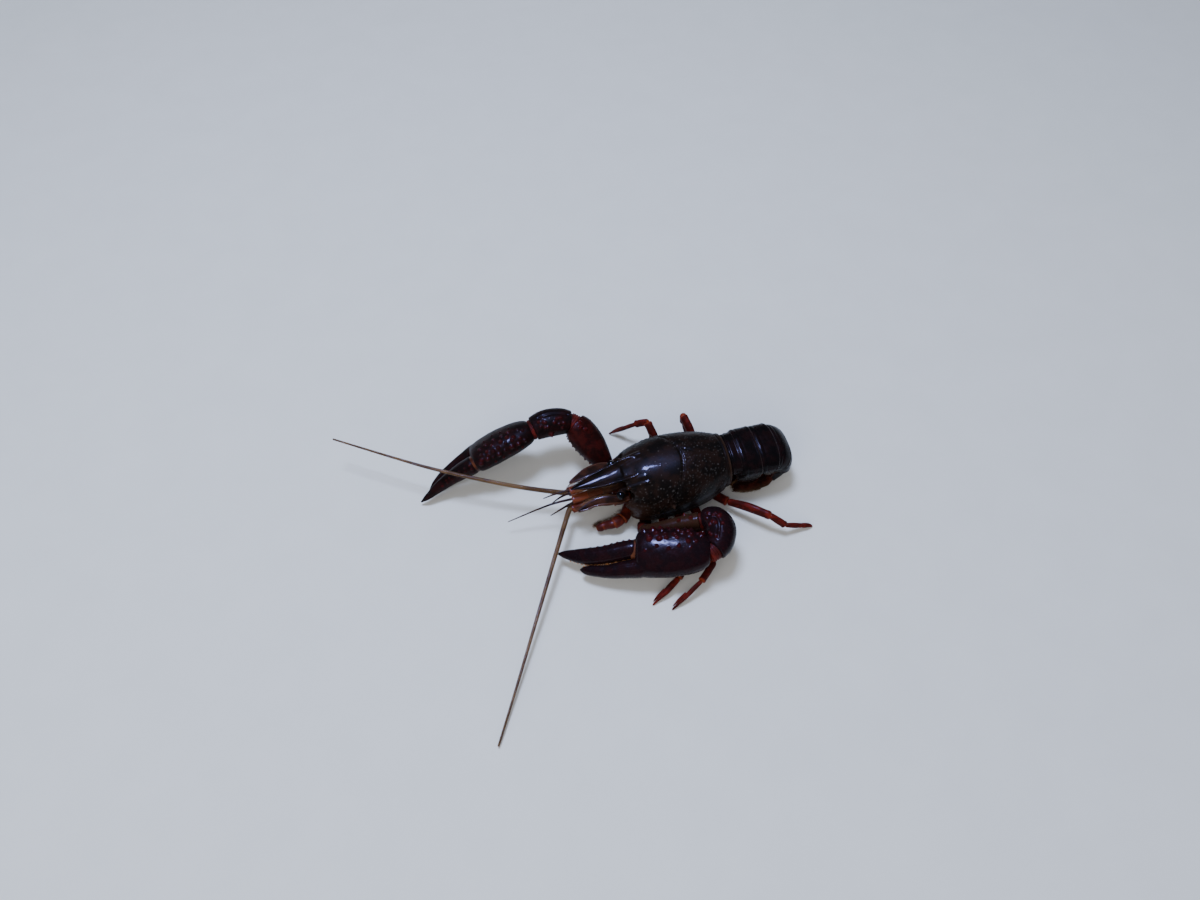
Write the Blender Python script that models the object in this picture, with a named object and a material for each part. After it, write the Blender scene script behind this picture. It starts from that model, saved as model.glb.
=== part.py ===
"""Red swamp crayfish, a still life-size model resting on a floor.

Lengths are in millimetres and become metres when a mesh is made. The trunk is described upright,
with its head towards -X, its right side towards +Y and the floor at z = 0, and then leans a
little to its left. The limbs reach from the leaning trunk to places on the floor. The origin is
below the carapace's rear margin while the pieces are made. At the end everything moves together,
so that the origin is on the floor at the middle of the whole animal.
"""
import math

import bmesh
import bpy
from mathutils import Matrix, Vector
from mathutils.bvhtree import BVHTree
from mathutils.geometry import tessellate_polygon

MM = 0.001
GAP = 0.3                 # between pieces that meet face to face
LEAN = math.radians(9)    # of the trunk, towards its left side
LEAN_Z = 20               # height of the axis that the trunk leans about

# Carapace: from its rear margin at x = 0 forward to the face and the rostrum
FACE_X = -33.5
GROOVE_X = -15.1          # cervical groove on the midline
GROOVE_SWEEP = 10         # how far the groove runs forward down each side
RIM_ANGLE = math.radians(-38)
# x, half width, top, height of the widest line, lower edge, half width of the lower edge
CARAPACE = [
    (0, 8.2, 19.6, 13.0, 9.0, 7.2),
    (-1.2, 8.9, 20.3, 12.8, 8.2, 8.2),
    (-4.5, 10.8, 21.4, 12.0, 6.6, 10.2),
    (-8.5, 12.1, 22.4, 11.3, 5.9, 11.4),
    (-12, 12.5, 22.9, 11.1, 5.8, 11.8),
    (-14.3, 12.5, 23.0, 11.0, 5.7, 11.8),
    (-15.1, 12.0, 22.5, 11.0, 5.8, 11.5),
    (-16, 12.1, 22.8, 11.0, 5.7, 11.4),
    (-19.5, 11.8, 22.4, 11.0, 5.7, 11.1),
    (-23.5, 11.3, 21.8, 11.1, 5.6, 10.7),
    (-27.5, 10.5, 21.2, 11.2, 5.6, 10.0),
    (-31, 9.3, 20.3, 11.5, 5.8, 8.8),
    (-33.5, 8.0, 19.6, 11.8, 6.5, 7.6),
]
FLOOR_RISE = 0.9          # of the carapace's underside, inside its lower edges
ROSTRUM_ROOT = (-30.5, 1.1, 20.2)
ROSTRUM_TIP = (-49.8, 0.2, 16.5)
ROSTRUM_HALF = 3.6
ROSTRUM_THICK = 1.5
ROSTRUM_SAG = 0.5
RIDGE_HEIGHT = 0.9

STERNUM = (-29.5, -2.5, 5.0, 2.6, 6.1)   # front x, rear x, half width, bottom, top

# Abdomen: straight behind the carapace, then bent round under itself to the floor
BEND_X = 13.6
BEND_RADIUS = 9.25
ROOT_TOP = 19.6
# length along the back, half width, depth of the body, depth of the side plate
SOMITES = [
    (3.4, 7.0, 7.4, 6.0),
    (6.4, 8.3, 7.6, 11.4),
    (6.4, 8.3, 7.4, 8.8),
    (6.8, 8.0, 7.2, 7.9),
    (7.4, 7.6, 6.8, 7.6),
    (8.6, 6.9, 5.8, 6.4),
]
TELSON_LENGTH = 14.0
TELSON_HALF = 5.0
TELSON_THICK = 1.2


def leaning(point):
    """Where a point of the upright trunk lies once the trunk leans."""
    x, y, z = point
    rise = z - LEAN_Z
    return Vector((x, y * math.cos(LEAN) - rise * math.sin(LEAN),
                   LEAN_Z + rise * math.cos(LEAN) + y * math.sin(LEAN)))


def leaning_direction(direction):
    return leaning(direction) - leaning((0, 0, 0))


def finish_mesh(name, bm):
    """Turn a closed bmesh in millimetres into an object in metres."""
    bmesh.ops.triangulate(bm, faces=bm.faces[:], quad_method="SHORT_EDGE", ngon_method="EAR_CLIP")
    bmesh.ops.recalc_face_normals(bm, faces=bm.faces[:])
    mesh = bpy.data.meshes.new(name)
    bm.to_mesh(mesh)
    bm.free()
    mesh.transform(Matrix.Scale(MM, 4))
    obj = bpy.data.objects.new(name, mesh)
    parts.objects.link(obj)
    return obj


def loft(name, rings, tip=None):
    """A closed solid through rings of points, with flat ends or a pointed far end."""
    bm = bmesh.new()
    rows = [[bm.verts.new(p) for p in ring] for ring in rings]
    count = len(rows[0])
    for row, following in zip(rows, rows[1:]):
        for i in range(count):
            j = (i + 1) % count
            bm.faces.new((row[i], row[j], following[j], following[i]))
    ends = [0] if tip is not None else [0, -1]
    for end in ends:
        for corners in tessellate_polygon([rings[end]]):
            bm.faces.new([rows[end][i] for i in corners])
    if tip is not None:
        point = bm.verts.new(tip)
        for i in range(count):
            bm.faces.new((rows[-1][i], rows[-1][(i + 1) % count], point))
    return finish_mesh(name, bm)


def slide_onto(ring, direction, point, normal):
    """Slide a ring along a direction until it lies in a plane."""
    return [p + direction * ((point - p).dot(normal) / direction.dot(normal)) for p in ring]


def smooth_line(points, steps):
    """A Catmull-Rom line through points that may carry sizes after their three coordinates."""
    rows = [tuple(p) for p in points]
    rows = [rows[0]] + rows + [rows[-1]]
    line = []
    for a, b, c, d in zip(rows, rows[1:], rows[2:], rows[3:]):
        for k in range(steps):
            t = k / steps
            line.append(tuple(
                0.5 * (2 * q + (r - p) * t + (2 * p - 5 * q + 4 * r - s) * t * t
                       + (3 * q - p - 3 * r + s) * t ** 3)
                for p, q, r, s in zip(a, b, c, d)))
    line.append(rows[-1])
    return line


def limb(name, stations, up, start=None, end=None, sides=8, pointed=False, steps=1):
    """A limb of oval sections. A station is x, y, z, half width, half height. start and end
    are planes, each a point and a normal along the limb, and the limb stops half a gap short."""
    line = smooth_line(stations, steps)
    centres = [Vector(s[:3]) for s in line]
    up = Vector(up)
    rings = []
    last = len(line) - 1
    for i, station in enumerate(line):
        along = (centres[min(i + 1, last)] - centres[max(i - 1, 0)]).normalized()
        across = along.cross(up).normalized()
        rise = across.cross(along)
        ring = []
        for k in range(sides):
            angle = 2 * math.pi * (k + 0.5) / sides
            ring.append(centres[i] + across * (station[3] * math.cos(angle))
                        + rise * (station[4] * math.sin(angle)))
        if i == 0 and start:
            normal = Vector(start[1]).normalized()
            ring = slide_onto(ring, along, Vector(start[0]) + normal * (GAP / 2), normal)
        if i == last and end:
            normal = Vector(end[1]).normalized()
            ring = slide_onto(ring, along, Vector(end[0]) - normal * (GAP / 2), normal)
        rings.append(ring)
    tip = rings.pop() if pointed else None
    if pointed:
        tip = centres[-1]
    return loft(name, rings, tip)


def largest_surface(obj):
    """Keep only the largest closed surface of a mesh."""
    bm = bmesh.new()
    bm.from_mesh(obj.data)
    left = set(bm.verts)
    groups = []
    while left:
        stack = [left.pop()]
        group = set(stack)
        while stack:
            for edge in stack.pop().link_edges:
                for vert in edge.verts:
                    if vert in left:
                        left.discard(vert)
                        group.add(vert)
                        stack.append(vert)
        groups.append(group)
    groups.sort(key=len)
    for group in groups[:-1]:
        bmesh.ops.delete(bm, geom=list(group), context="VERTS")
    bm.to_mesh(obj.data)
    bm.free()


def fuse(obj, pieces, solver="EXACT"):
    """Join closed pieces to an object with one Boolean union."""
    if not pieces:
        return obj
    group = bpy.data.collections.new(obj.name + "_pieces")
    bpy.context.scene.collection.children.link(group)
    for piece in pieces:
        parts.objects.unlink(piece)
        group.objects.link(piece)
    union = obj.modifiers.new("Join", "BOOLEAN")
    union.operation = "UNION"
    union.solver = solver
    union.operand_type = "COLLECTION"
    union.collection = group
    bpy.context.view_layer.update()
    joined = obj.evaluated_get(bpy.context.evaluated_depsgraph_get())
    mesh = bpy.data.meshes.new_from_object(joined)
    obj.modifiers.clear()
    obj.data = mesh
    for piece in pieces:
        bpy.data.objects.remove(piece)
    bpy.data.collections.remove(group)
    largest_surface(obj)
    return obj


def spike(base, direction, length, radius, sink=0.6, sides=5):
    """A cone that stands on a surface with its root sunk in."""
    direction = Vector(direction).normalized()
    bm = bmesh.new()
    bmesh.ops.create_cone(bm, cap_ends=True, segments=sides, radius1=radius, radius2=0,
                          depth=length + sink)
    turn = direction.to_track_quat("Z", "Y").to_matrix().to_4x4()
    centre = Vector(base) + direction * ((length - sink) / 2)
    bm.transform(Matrix.Translation(centre) @ turn)
    return finish_mesh("spike", bm)


def surface_of(obj):
    """A tree for finding where a line meets an object's surface, in millimetres."""
    bm = bmesh.new()
    bm.from_mesh(obj.data)
    bm.transform(Matrix.Scale(1 / MM, 4))
    tree = BVHTree.FromBMesh(bm)
    bm.free()
    return tree


def spikes_on(obj, lines, length, radius, tilt=(0, 0, 0), sides=5):
    """Cones where lines, each an inner point and a direction, leave an object's surface."""
    tree = surface_of(obj)
    made = []
    for origin, direction in lines:
        direction = Vector(direction).normalized()
        hit, normal, _, _ = tree.ray_cast(Vector(origin) + direction * 60, -direction)
        if hit is not None:
            size = 1 + 0.18 * math.sin(7 * hit.x + 5 * hit.y)
            made.append(spike(hit, normal + Vector(tilt), length * size, radius * size,
                              sides=sides))
    return made


def paint(obj, colour, roughness):
    material = bpy.data.materials.new(obj.name)
    material.use_nodes = True
    shader = material.node_tree.nodes["Principled BSDF"]
    shader.inputs["Base Color"].default_value = (*colour, 1)
    shader.inputs["Roughness"].default_value = roughness
    shader.inputs["Metallic"].default_value = 0
    obj.data.materials.clear()
    obj.data.materials.append(material)
    obj.data.shade_smooth()
    obj.data.set_sharp_from_angle(angle=math.radians(40))


# Carapace and rostrum

def carapace_ring(x, half, top, wide, low, low_half):
    """One cross-section of the carapace, swept forward down the sides like the groove."""
    reach = 15.1 if x > GROOVE_X else GROOVE_X - FACE_X
    sweep = GROOVE_SWEEP * max(0, 1 - abs(x - GROOVE_X) / reach)
    steps = 18
    ring = []
    for k in range(steps + 1):
        angle = RIM_ANGLE + (math.pi - 2 * RIM_ANGLE) * k / steps
        rise = math.sin(angle)
        lift = max(0, rise)
        if rise >= 0:
            y = half * math.copysign(abs(math.cos(angle)) ** 0.92, math.cos(angle))
            z = wide + (top - wide) * rise ** 0.95
        else:
            drop = rise / math.sin(RIM_ANGLE)
            y = math.copysign(half + (low_half - half) * drop ** 1.5, math.cos(angle))
            z = wide + (low - wide) * drop
        ring.append(leaning((x - sweep * (1 - lift) ** 0.7, y, z)))
    for y in (-0.62, 0.62):
        ring.append(leaning((x - sweep, y * low_half, low + FLOOR_RISE)))
    return ring


def trunk_ray(x, side, degrees):
    """A ray out of the trunk's axis, at an angle up from its side."""
    angle = math.radians(degrees)
    direction = leaning_direction((0, side * math.cos(angle), math.sin(angle)))
    return leaning((x, 0, 13)), direction


def make_carapace():
    shell = loft("carapace", [carapace_ring(*row) for row in reversed(CARAPACE)])
    root = Vector(ROSTRUM_ROOT)
    tip = Vector(ROSTRUM_TIP)
    rows = [(0, 1.05), (0.18, 1.0), (0.42, 0.86), (0.62, 0.7), (0.8, 0.42), (0.92, 0.2)]
    rings = []
    for t, width in rows:
        middle = root.lerp(tip, t) - Vector((0, 0, ROSTRUM_SAG * math.sin(math.pi * t)))
        half = ROSTRUM_HALF * width
        ridge = RIDGE_HEIGHT * (1 - 0.6 * t)
        outline = [(-half, 0), (-half, ridge), (-half * 0.8, ridge), (-half * 0.55, 0.2),
                   (0, 0), (half * 0.55, 0.2), (half * 0.8, ridge), (half, ridge), (half, 0),
                   (half * 0.5, -ROSTRUM_THICK), (-half * 0.5, -ROSTRUM_THICK)]
        rings.append([leaning(middle + Vector((0, y, rise))) for y, rise in outline])
    rostrum = loft("rostrum", rings, leaning(tip))
    bumps = []
    for side in (-1, 1):
        for row, angle in enumerate((12, 32, 52)):
            for k in range(4):
                bumps.append((-2.8 - 3.0 * k - 1.2 * (row % 2), side, angle))
            for k in range(2):
                bumps.append((-19.5 - 3.4 * k - 1.0 * (row % 2), side, angle - 8))
    rays = [trunk_ray(*bump) for bump in bumps]
    spines = [trunk_ray(-13.2, side, 14) for side in (-1, 1)]
    ridges = [trunk_ray(-30.8, side, 58) for side in (-1, 1)]
    return fuse(shell, [rostrum] + spikes_on(shell, rays, 0.45, 0.8)
                + spikes_on(shell, spines, 1.0, 0.8, (-0.6, 0, 0))
                + spikes_on(shell, ridges, 1.0, 0.7, (-1.0, 0, 0)))


def make_sternum():
    front, rear, half, low, high = STERNUM
    rings = []
    for x, width, bottom in ((front, 0.7, low + 1.2), (front + 4, 1, low), (rear - 3, 1, low),
                             (rear, 0.8, low + 0.8)):
        outline = [(-half * width, bottom), (half * width, bottom), (half * width, high),
                   (-half * width, high)]
        rings.append([leaning((x, y, z)) for y, z in outline])
    return loft("sternum", rings)


# Abdomen and tail fan

def back_line(along, depth, across):
    """A point at a distance along the back, a depth below it and a distance to the right."""
    slope = (ROOT_TOP - 2 * BEND_RADIUS) / BEND_X
    if along <= BEND_X:
        x, z = along, ROOT_TOP - slope * along - depth
        lean = 1
    else:
        angle = (along - BEND_X) / BEND_RADIUS
        if angle < math.pi:
            x = BEND_X + (BEND_RADIUS - depth) * math.sin(angle)
            z = BEND_RADIUS + (BEND_RADIUS - depth) * math.cos(angle)
            lean = 1 - angle / math.pi
        else:
            x = BEND_X - (along - BEND_X - math.pi * BEND_RADIUS)
            z = depth
            lean = 0
    upright = Vector((x, across, z))
    leant = leaning(upright)
    level = Vector((x, across + LEAN_Z / 2 * math.sin(LEAN), z))
    return level.lerp(leant, lean)


def somite_ring(along, half, depth, plate, swell):
    points = []
    steps = 12
    for k in range(steps + 1):
        angle = math.pi * k / steps
        y = -half * math.copysign(abs(math.cos(angle)) ** 0.8, math.cos(angle))
        points.append((y, (half * 0.62) * (1 - math.sin(angle) ** 0.9)))
    outer = [(y * (1 + swell / half), d - swell) for y, d in points]
    side = max(plate, half * 0.62 + 0.4)
    inner = min(side, depth) - 0.5
    outline = [(-half * 0.94, side)] + outer + [(half * 0.94, side)]
    outline += [(half * 0.78, side - 0.2), (half * 0.66, inner), (0, inner + 0.5),
                (-half * 0.66, inner), (-half * 0.78, side - 0.2)]
    return [back_line(along, d, y) for y, d in outline]


def make_abdomen():
    made = []
    along = 0
    for number, (length, half, depth, plate) in enumerate(SOMITES, 1):
        front, rear = along + GAP / 2, along + length - GAP / 2
        rows = [(front, -0.35, plate - 2.4), (front + 0.25 * length, -0.1, plate - 0.3),
                (front + 0.6 * length, 0.0, plate), (rear, 0.15, plate - 1.6)]
        rings = [somite_ring(s, half, depth, side, swell) for s, swell, side in rows]
        made.append(loft(f"abdomen_{number}", rings))
        along += length
    return made, along


def fan_blade(name, root, end, half, lift, thick):
    """A flat blade of the tail fan. root and end are (distance along the back, across)."""
    rings = []
    root, end = Vector(root), Vector(end)
    widths = [0.78, 0.94, 1.0, 0.97, 0.8, 0.45]
    for k, width in enumerate(widths):
        t = k / (len(widths) - 1)
        centre = root.lerp(end, t)
        body = thick * (1 - 0.35 * t)
        outline = [(-1, 0.25), (-0.6, 0), (0.6, 0), (1, 0.25), (1, 0.75), (0.5, 1), (-0.5, 1),
                   (-1, 0.75)]
        rings.append([back_line(centre.x, lift + body * d, centre.y + half * width * y)
                      for y, d in outline])
    return loft(name, rings)


def make_fan(start):
    fan = [fan_blade("telson", (start + GAP / 2, 0), (start + TELSON_LENGTH, 0), TELSON_HALF, 0,
                     TELSON_THICK)]
    for name, side in (("left", -1), ("right", 1)):
        fan.append(fan_blade(f"uropod_inner_{name}", (start + 1.2, side * 4.2),
                             (start + 13.6, side * 4.7), 2.7, TELSON_THICK + 0.35, 0.9))
        fan.append(fan_blade(f"uropod_outer_{name}", (start + 0.5, side * 5.0),
                             (start + 14.4, side * 5.6), 2.9, TELSON_THICK + 1.6, 0.9))
    return fan


# Head

def unit(a, b):
    return (Vector(b) - Vector(a)).normalized()


def lean_rows(rows):
    return [(*leaning(row[:3]), *row[3:]) for row in rows]


def jointed(pieces, up=(0, 0, 1), start=None, end=None, sides=8, steps=1):
    """Limbs end to end, each a name and stations, parted by a plane that halves each bend."""
    planes = [start]
    for (_, first), (_, second) in zip(pieces, pieces[1:]):
        joint = (Vector(first[-1][:3]) + Vector(second[0][:3])) / 2
        planes.append((joint, unit(first[-2][:3], first[-1][:3])
                       + unit(second[0][:3], second[1][:3])))
    planes.append(end)
    return [limb(name, rows, up, start=a, end=b, sides=sides, steps=steps)
            for (name, rows), a, b in zip(pieces, planes, planes[1:])]


FACE = FACE_X - GAP
EYE = (-35.5, 5.4, 16.0)     # the right one, before the trunk leans
EYE_RADIUS = 1.3
# The whips of the antennae, from their joints to their tips
WHIPS = {
    "left": [(-50.6, -0.6, 8.2, 0.85, 0.85), (-58.0, -13.4, 7.2, 0.7, 0.7),
             (-69.0, -32.6, 4.6, 0.55, 0.55), (-79.0, -50.0, 2.2, 0.42, 0.42),
             (-87.6, -64.8, 0.9, 0.3, 0.3)],
    "right": [(-52.3, 5.0, 9.6, 0.85, 0.85), (-67.0, 10.8, 11.2, 0.7, 0.7),
              (-86.8, 21.0, 12.8, 0.55, 0.55), (-99.2, 29.0, 13.2, 0.42, 0.42),
              (-117.8, 42.2, 13.2, 0.3, 0.3)],
}
# The short whips of the antennules, two on each side
FEELERS = {
    "left": [[(-48.9, 0.4, 11.5), (-57.0, 0.9, 10.3), (-70.0, 1.7, 5.0)],
             [(-48.9, -0.3, 10.9), (-53.0, -0.7, 9.2), (-57.0, -1.2, 7.4)]],
    "right": [[(-49.0, 3.3, 12.0), (-53.0, 3.7, 11.5), (-58.0, 3.9, 10.0)],
              [(-49.0, 2.8, 11.6), (-52.3, 2.9, 10.3), (-55.4, 2.5, 8.6)]],
}
# The blades beside the antennae, and how far each is turned outward
SCALES = {
    "left": [(FACE, -5.5, 13.0, 0.7, 0.5), (-36.0, -5.3, 13.1, 1.2, 0.5),
             (-39.0, -4.9, 13.5, 1.4, 0.5), (-42.5, -4.5, 13.2, 1.2, 0.5),
             (-46.0, -4.9, 12.4, 0.9, 0.45), (-48.8, -5.6, 11.9, 0.3, 0.3)],
    "right": [(FACE, 6.2, 13.2, 0.8, 0.5), (-36.0, 6.5, 13.2, 1.4, 0.5),
              (-39.0, 6.5, 13.4, 1.9, 0.5), (-43.0, 5.9, 13.4, 1.95, 0.5),
              (-46.0, 5.0, 13.0, 1.4, 0.45), (-49.2, 4.0, 12.4, 0.3, 0.3)],
}
SCALE_TILT = {"left": 0.6, "right": 0.25}
STEM_SPREAD = 1.5         # of the antennules to either side
STEM_SHIFT = 0.3          # of both to the right
JAW_LEGS = {
    "left": [(-31.2, -0.4, 4.5, 1.4, 1.2), (-34.0, -5.0, 3.7, 1.9, 1.4),
             (-37.8, -6.9, 3.9, 1.9, 1.5), (-40.4, -6.6, 3.1, 1.4, 1.3),
             (-42.2, -6.4, 2.4, 1.5, 1.3), (-43.6, -6.3, 1.8, 0.9, 0.8)],
    "right": [(-33.0, 4.4, 5.4, 1.9, 1.5), (-37.0, 4.8, 5.2, 1.9, 1.5),
              (-40.6, 4.2, 4.6, 1.5, 1.3), (-42.8, 3.6, 3.2, 1.4, 1.3),
              (-42.6, 3.2, 1.9, 0.9, 0.8)],
}


def make_head():
    made = []
    ahead = leaning_direction((-1, 0, 0))
    for name, side in (("left", -1), ("right", 1)):
        eye = leaning((EYE[0], side * EYE[1], EYE[2]))
        root = leaning((FACE, side * 3.3, 15.7))
        turn = leaning((FACE - 0.7, side * 3.5, 15.7))
        neck = eye - unit(turn, eye) * (EYE_RADIUS + GAP)
        made.append(limb(f"eyestalk_{name}", [(*root, 0.9, 0.9), (*turn, 0.9, 0.9),
                                              (*neck, 0.8, 0.8)], (0, 0, 1),
                         start=(leaning((FACE + GAP / 2, 0, 15)), ahead)))
        bm = bmesh.new()
        bmesh.ops.create_uvsphere(bm, u_segments=12, v_segments=8, radius=EYE_RADIUS)
        bm.transform(Matrix.Translation(eye))
        made.append(finish_mesh(f"eye_{name}", bm))
        base = [(FACE, side * 4.4, 11.0, 2.3, 1.8), (-38, side * 3.9, 11.1, 2.1, 1.6),
                (-41.5, side * 3.4, 11.0, 1.7, 1.4), (-46, side * 3.1, 9.9, 1.5, 1.4),
                (-49.4, side * 3.0, 8.7, 1.3, 1.2)]
        made += jointed([(f"antenna_base_{name}", lean_rows(base)),
                         (f"antenna_{name}", smooth_line(WHIPS[name], 3))], sides=6)
        tilt = SCALE_TILT[name]
        made.append(limb(f"antenna_scale_{name}", lean_rows(SCALES[name]),
                         (0, side * tilt, math.sqrt(1 - tilt ** 2)), sides=6))
        across = side * STEM_SPREAD + STEM_SHIFT
        stem = [(FACE, across, 13.7, 1.2, 0.9), (-38, across, 13.7, 1.35, 0.9),
                (-42, across, 13.4, 1.3, 0.8), (-47, across, 12.2, 1.2, 0.85),
                (-49.5, across, 11.5, 0.95, 0.8)]
        stalk = limb(f"antennule_{name}", lean_rows(stem), (0, 0, 1), sides=6)
        whips = [limb("whip", [(*p, r, r) for p, r in zip(line, (0.45, 0.38, 0.25))], (0, 0, 1),
                      sides=5, steps=2) for line in FEELERS[name]]
        made.append(fuse(stalk, whips))
        root = leaning((STERNUM[0] - GAP, side * 2.0, 5.0))
        rows = [(*root, 1.4, 1.2)] + JAW_LEGS[name]
        made.append(limb(f"maxilliped_{name}", rows, (0, 0, 1),
                         start=(leaning((STERNUM[0] - GAP / 2, 0, 5)), ahead)))
    return made


ROOT_INSET = 0.4          # from the sternum's side to a limb's first station
LEG_ROOT_Z = 4.0
LEG_ARCH = 0.7            # how far the middle of a leg's upper piece rises above a line
SLIM_FOOT = 0.75          # size of the third and fourth legs' ends beside the others
# Walking legs: x of the root, then the end of the ischium, knee, wrist and foot
LEGS = {
    "leg_2_left": (-22.3, -1, (-22.8, -12.5, 1.95), (-20.5, -27.0, 4.8), (-25.0, -31.0, 4.4),
                   (-34.4, -35.5, 0)),
    "leg_3_left": (-17.4, -1, (-17.2, -12.5, 1.95), (-13.8, -29.8, 5.6), (-19.0, -34.2, 5.2),
                   (-29.3, -38.5, 0)),
    "leg_4_left": (-12.5, -1, (-11.4, -12.0, 2.0), (-7.6, -21.6, 5.0), (-8.6, -26.4, 4.4),
                   (-16.0, -25.0, 0)),
    "leg_5_left": (-7.6, -1, (-1.4, -9.4, 4.4), (8.8, -19.5, 7.0), (12.8, -22.4, 4.4),
                   (22.5, -22.8, 0)),
    "leg_2_right": (-22.3, 1, (-23.2, 12.4, 4.6), (-25.6, 15.2, 6.4), (-28.7, 16.4, 4.4),
                    (-36.5, 15.5, 0)),
    "leg_3_right": (-17.4, 1, (-16.4, 14.2, 5.4), (-18.8, 21.4, 13.4), (-21.8, 23.9, 10.2),
                    (-29.2, 29.7, 0)),
    "leg_4_right": (-12.5, 1, (-12.4, 13.4, 4.8), (-13.2, 16.8, 8.4), (-14.8, 18.2, 5.8),
                    (-19.0, 21.0, 0)),
    "leg_5_right": (-7.6, 1, (-4.6, 13.4, 6.8), (-6.6, 21.2, 12.8), (-6.0, 21.6, 9.0),
                    (-4.2, 19.4, 0)),
}


def make_legs():
    made = []
    for name, (x, side, ischium, knee, wrist, foot) in LEGS.items():
        face = leaning((x, side * (STERNUM[2] + GAP / 2), LEG_ROOT_Z))
        root = leaning((x, side * (STERNUM[2] + ROOT_INSET), LEG_ROOT_Z))
        ischium, knee, wrist, foot = map(Vector, (ischium, knee, wrist, foot))
        middle = ischium.lerp(knee, 0.5) + Vector((0, 0, LEG_ARCH))
        upper = [(*root, 1.5, 1.4), (*root.lerp(ischium, 0.5), 1.6, 1.45), (*ischium, 1.45, 1.4),
                 (*middle, 1.35, 1.7), (*knee, 1.15, 1.3)]
        slim = SLIM_FOOT if name[4] in "34" else 1
        lower = [(*knee, 1.1, 1.25), (*knee.lerp(wrist, 0.6), 1.15, 1.25),
                 (*wrist, 0.95 * slim, 1.05 * slim),
                 (*wrist.lerp(foot, 0.35), 0.85 * slim, 0.95 * slim),
                 (*wrist.lerp(foot, 0.65), 0.7 * slim, 0.75 * slim), (*foot, 0.32, 0.32)]
        sole = foot - Vector((0, 0, GAP / 2))
        pair = jointed([(f"{name}_upper", upper), (f"{name}_lower", lower)],
                       start=(face, leaning_direction((0, side, 0))), end=(sole, (0, 0, -1)))
        if name[4] in "23":
            along = unit(wrist, foot)
            across = along.cross(Vector((0, 0, 1))).normalized()
            grip = wrist.lerp(foot, 0.55) + across * 0.55
            reach = (foot - wrist).length * 0.36
            fuse(pair[1], [spike(grip, along + across * 0.08, reach, 0.5)])
        made += pair
    return made


# Claws

# distance from the wrist, centre towards the fixed finger, half width, half thickness
PALM = [
    (0.3, 0.2, 4.0, 3.0),
    (2.2, 0.3, 5.3, 3.7),
    (6, 0.4, 6.5, 4.2),
    (12, 0.55, 7.2, 4.4),
    (18, 0.6, 7.3, 4.2),
    (22.6, 0.6, 6.8, 3.8),
]
FIXED_FINGER = {
    "left": [(23.4, 4.8, 2.9, 3.0), (28, 5.0, 2.5, 2.6), (33, 5.2, 1.9, 2.1), (38, 4.4, 1.6, 1.6),
             (40.3, 4.0, 1.1, 1.0)],
    "right": [(23.4, 4.4, 2.8, 3.0), (28, 4.5, 2.2, 2.6), (33, 4.2, 2.0, 2.2), (38, 3.7, 1.7, 1.7),
              (41, 3.2, 1.2, 1.1)],
}
FIXED_TIP = {"left": (41.6, 3.6), "right": (43.4, 2.6)}
DACTYL = {
    "left": [(23.8, -1.2, 2.7, 2.7), (28, -0.8, 2.7, 2.6), (34, -0.1, 2.5, 2.3),
             (40, -0.3, 2.35, 1.9), (45, -1.3, 1.5, 1.2)],
    "right": [(23.8, -2.1, 3.2, 2.9), (28, -1.5, 2.8, 2.7), (34, -0.7, 2.2, 2.2),
              (40, -0.5, 1.6, 1.7), (45, -0.8, 0.9, 0.9)],
}
DACTYL_TIP = {"left": (48.0, -2.0), "right": (48.0, -0.4)}


class ClawLine:
    """A curved line from the wrist to the claw tips, with the claw's own axes along it."""

    def __init__(self, points, outward):
        self.points = [Vector(p) for p in points]
        self.outward = Vector(outward)
        self.length = 48.0

    def at(self, along, across=0, rise=0):
        a, b, c = self.points
        t = along / self.length
        centre = a * (1 - t) ** 2 + b * (2 * t * (1 - t)) + c * t * t
        ahead = ((b - a) * (1 - t) + (c - b) * t).normalized()
        outward = (self.outward - ahead * ahead.dot(self.outward)).normalized()
        up = ahead.cross(outward)
        if up.z < 0:
            up = -up
        return centre + outward * across + up * rise

    def ahead(self, along):
        return (self.at(along + 0.1) - self.at(along)).normalized()


def claw_rings(line, rows, sides=12):
    rings = []
    for along, centre, half, thick in rows:
        ring = []
        for k in range(sides):
            angle = 2 * math.pi * (k + 0.5) / sides
            y = math.copysign(abs(math.cos(angle)) ** 0.85, math.cos(angle))
            ring.append(line.at(along, centre + half * y, thick * math.sin(angle)))
        rings.append(ring)
    return rings


TEETH = (26.5, 29.5, 32.5, 35.5, 38.0)
CLAW_LEFT = ClawLine([(-15.0, -28.6, 11.6), (-36.0, -21.8, 11.8), (-58.0, -15.0, 3.4)],
                     (0.0, -0.94, -0.34))
CLAW_RIGHT = ClawLine([(-56.2, 26.2, 16.0), (-77.0, 24.2, 11.8), (-95.0, 19.0, 1.2)],
                      (0.0, 0.86, -0.5))


def claw_lines(line, places):
    """Rays out of a claw: distance along it, across it, and the angle up from its inner edge."""
    rays = []
    for along, across, angle in places:
        centre = line.at(along, across)
        rise = line.at(along, across, 1) - centre
        inward = line.at(along, across - 1) - centre
        rays.append((centre, inward * math.cos(angle) + rise * math.sin(angle)))
    return rays


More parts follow.
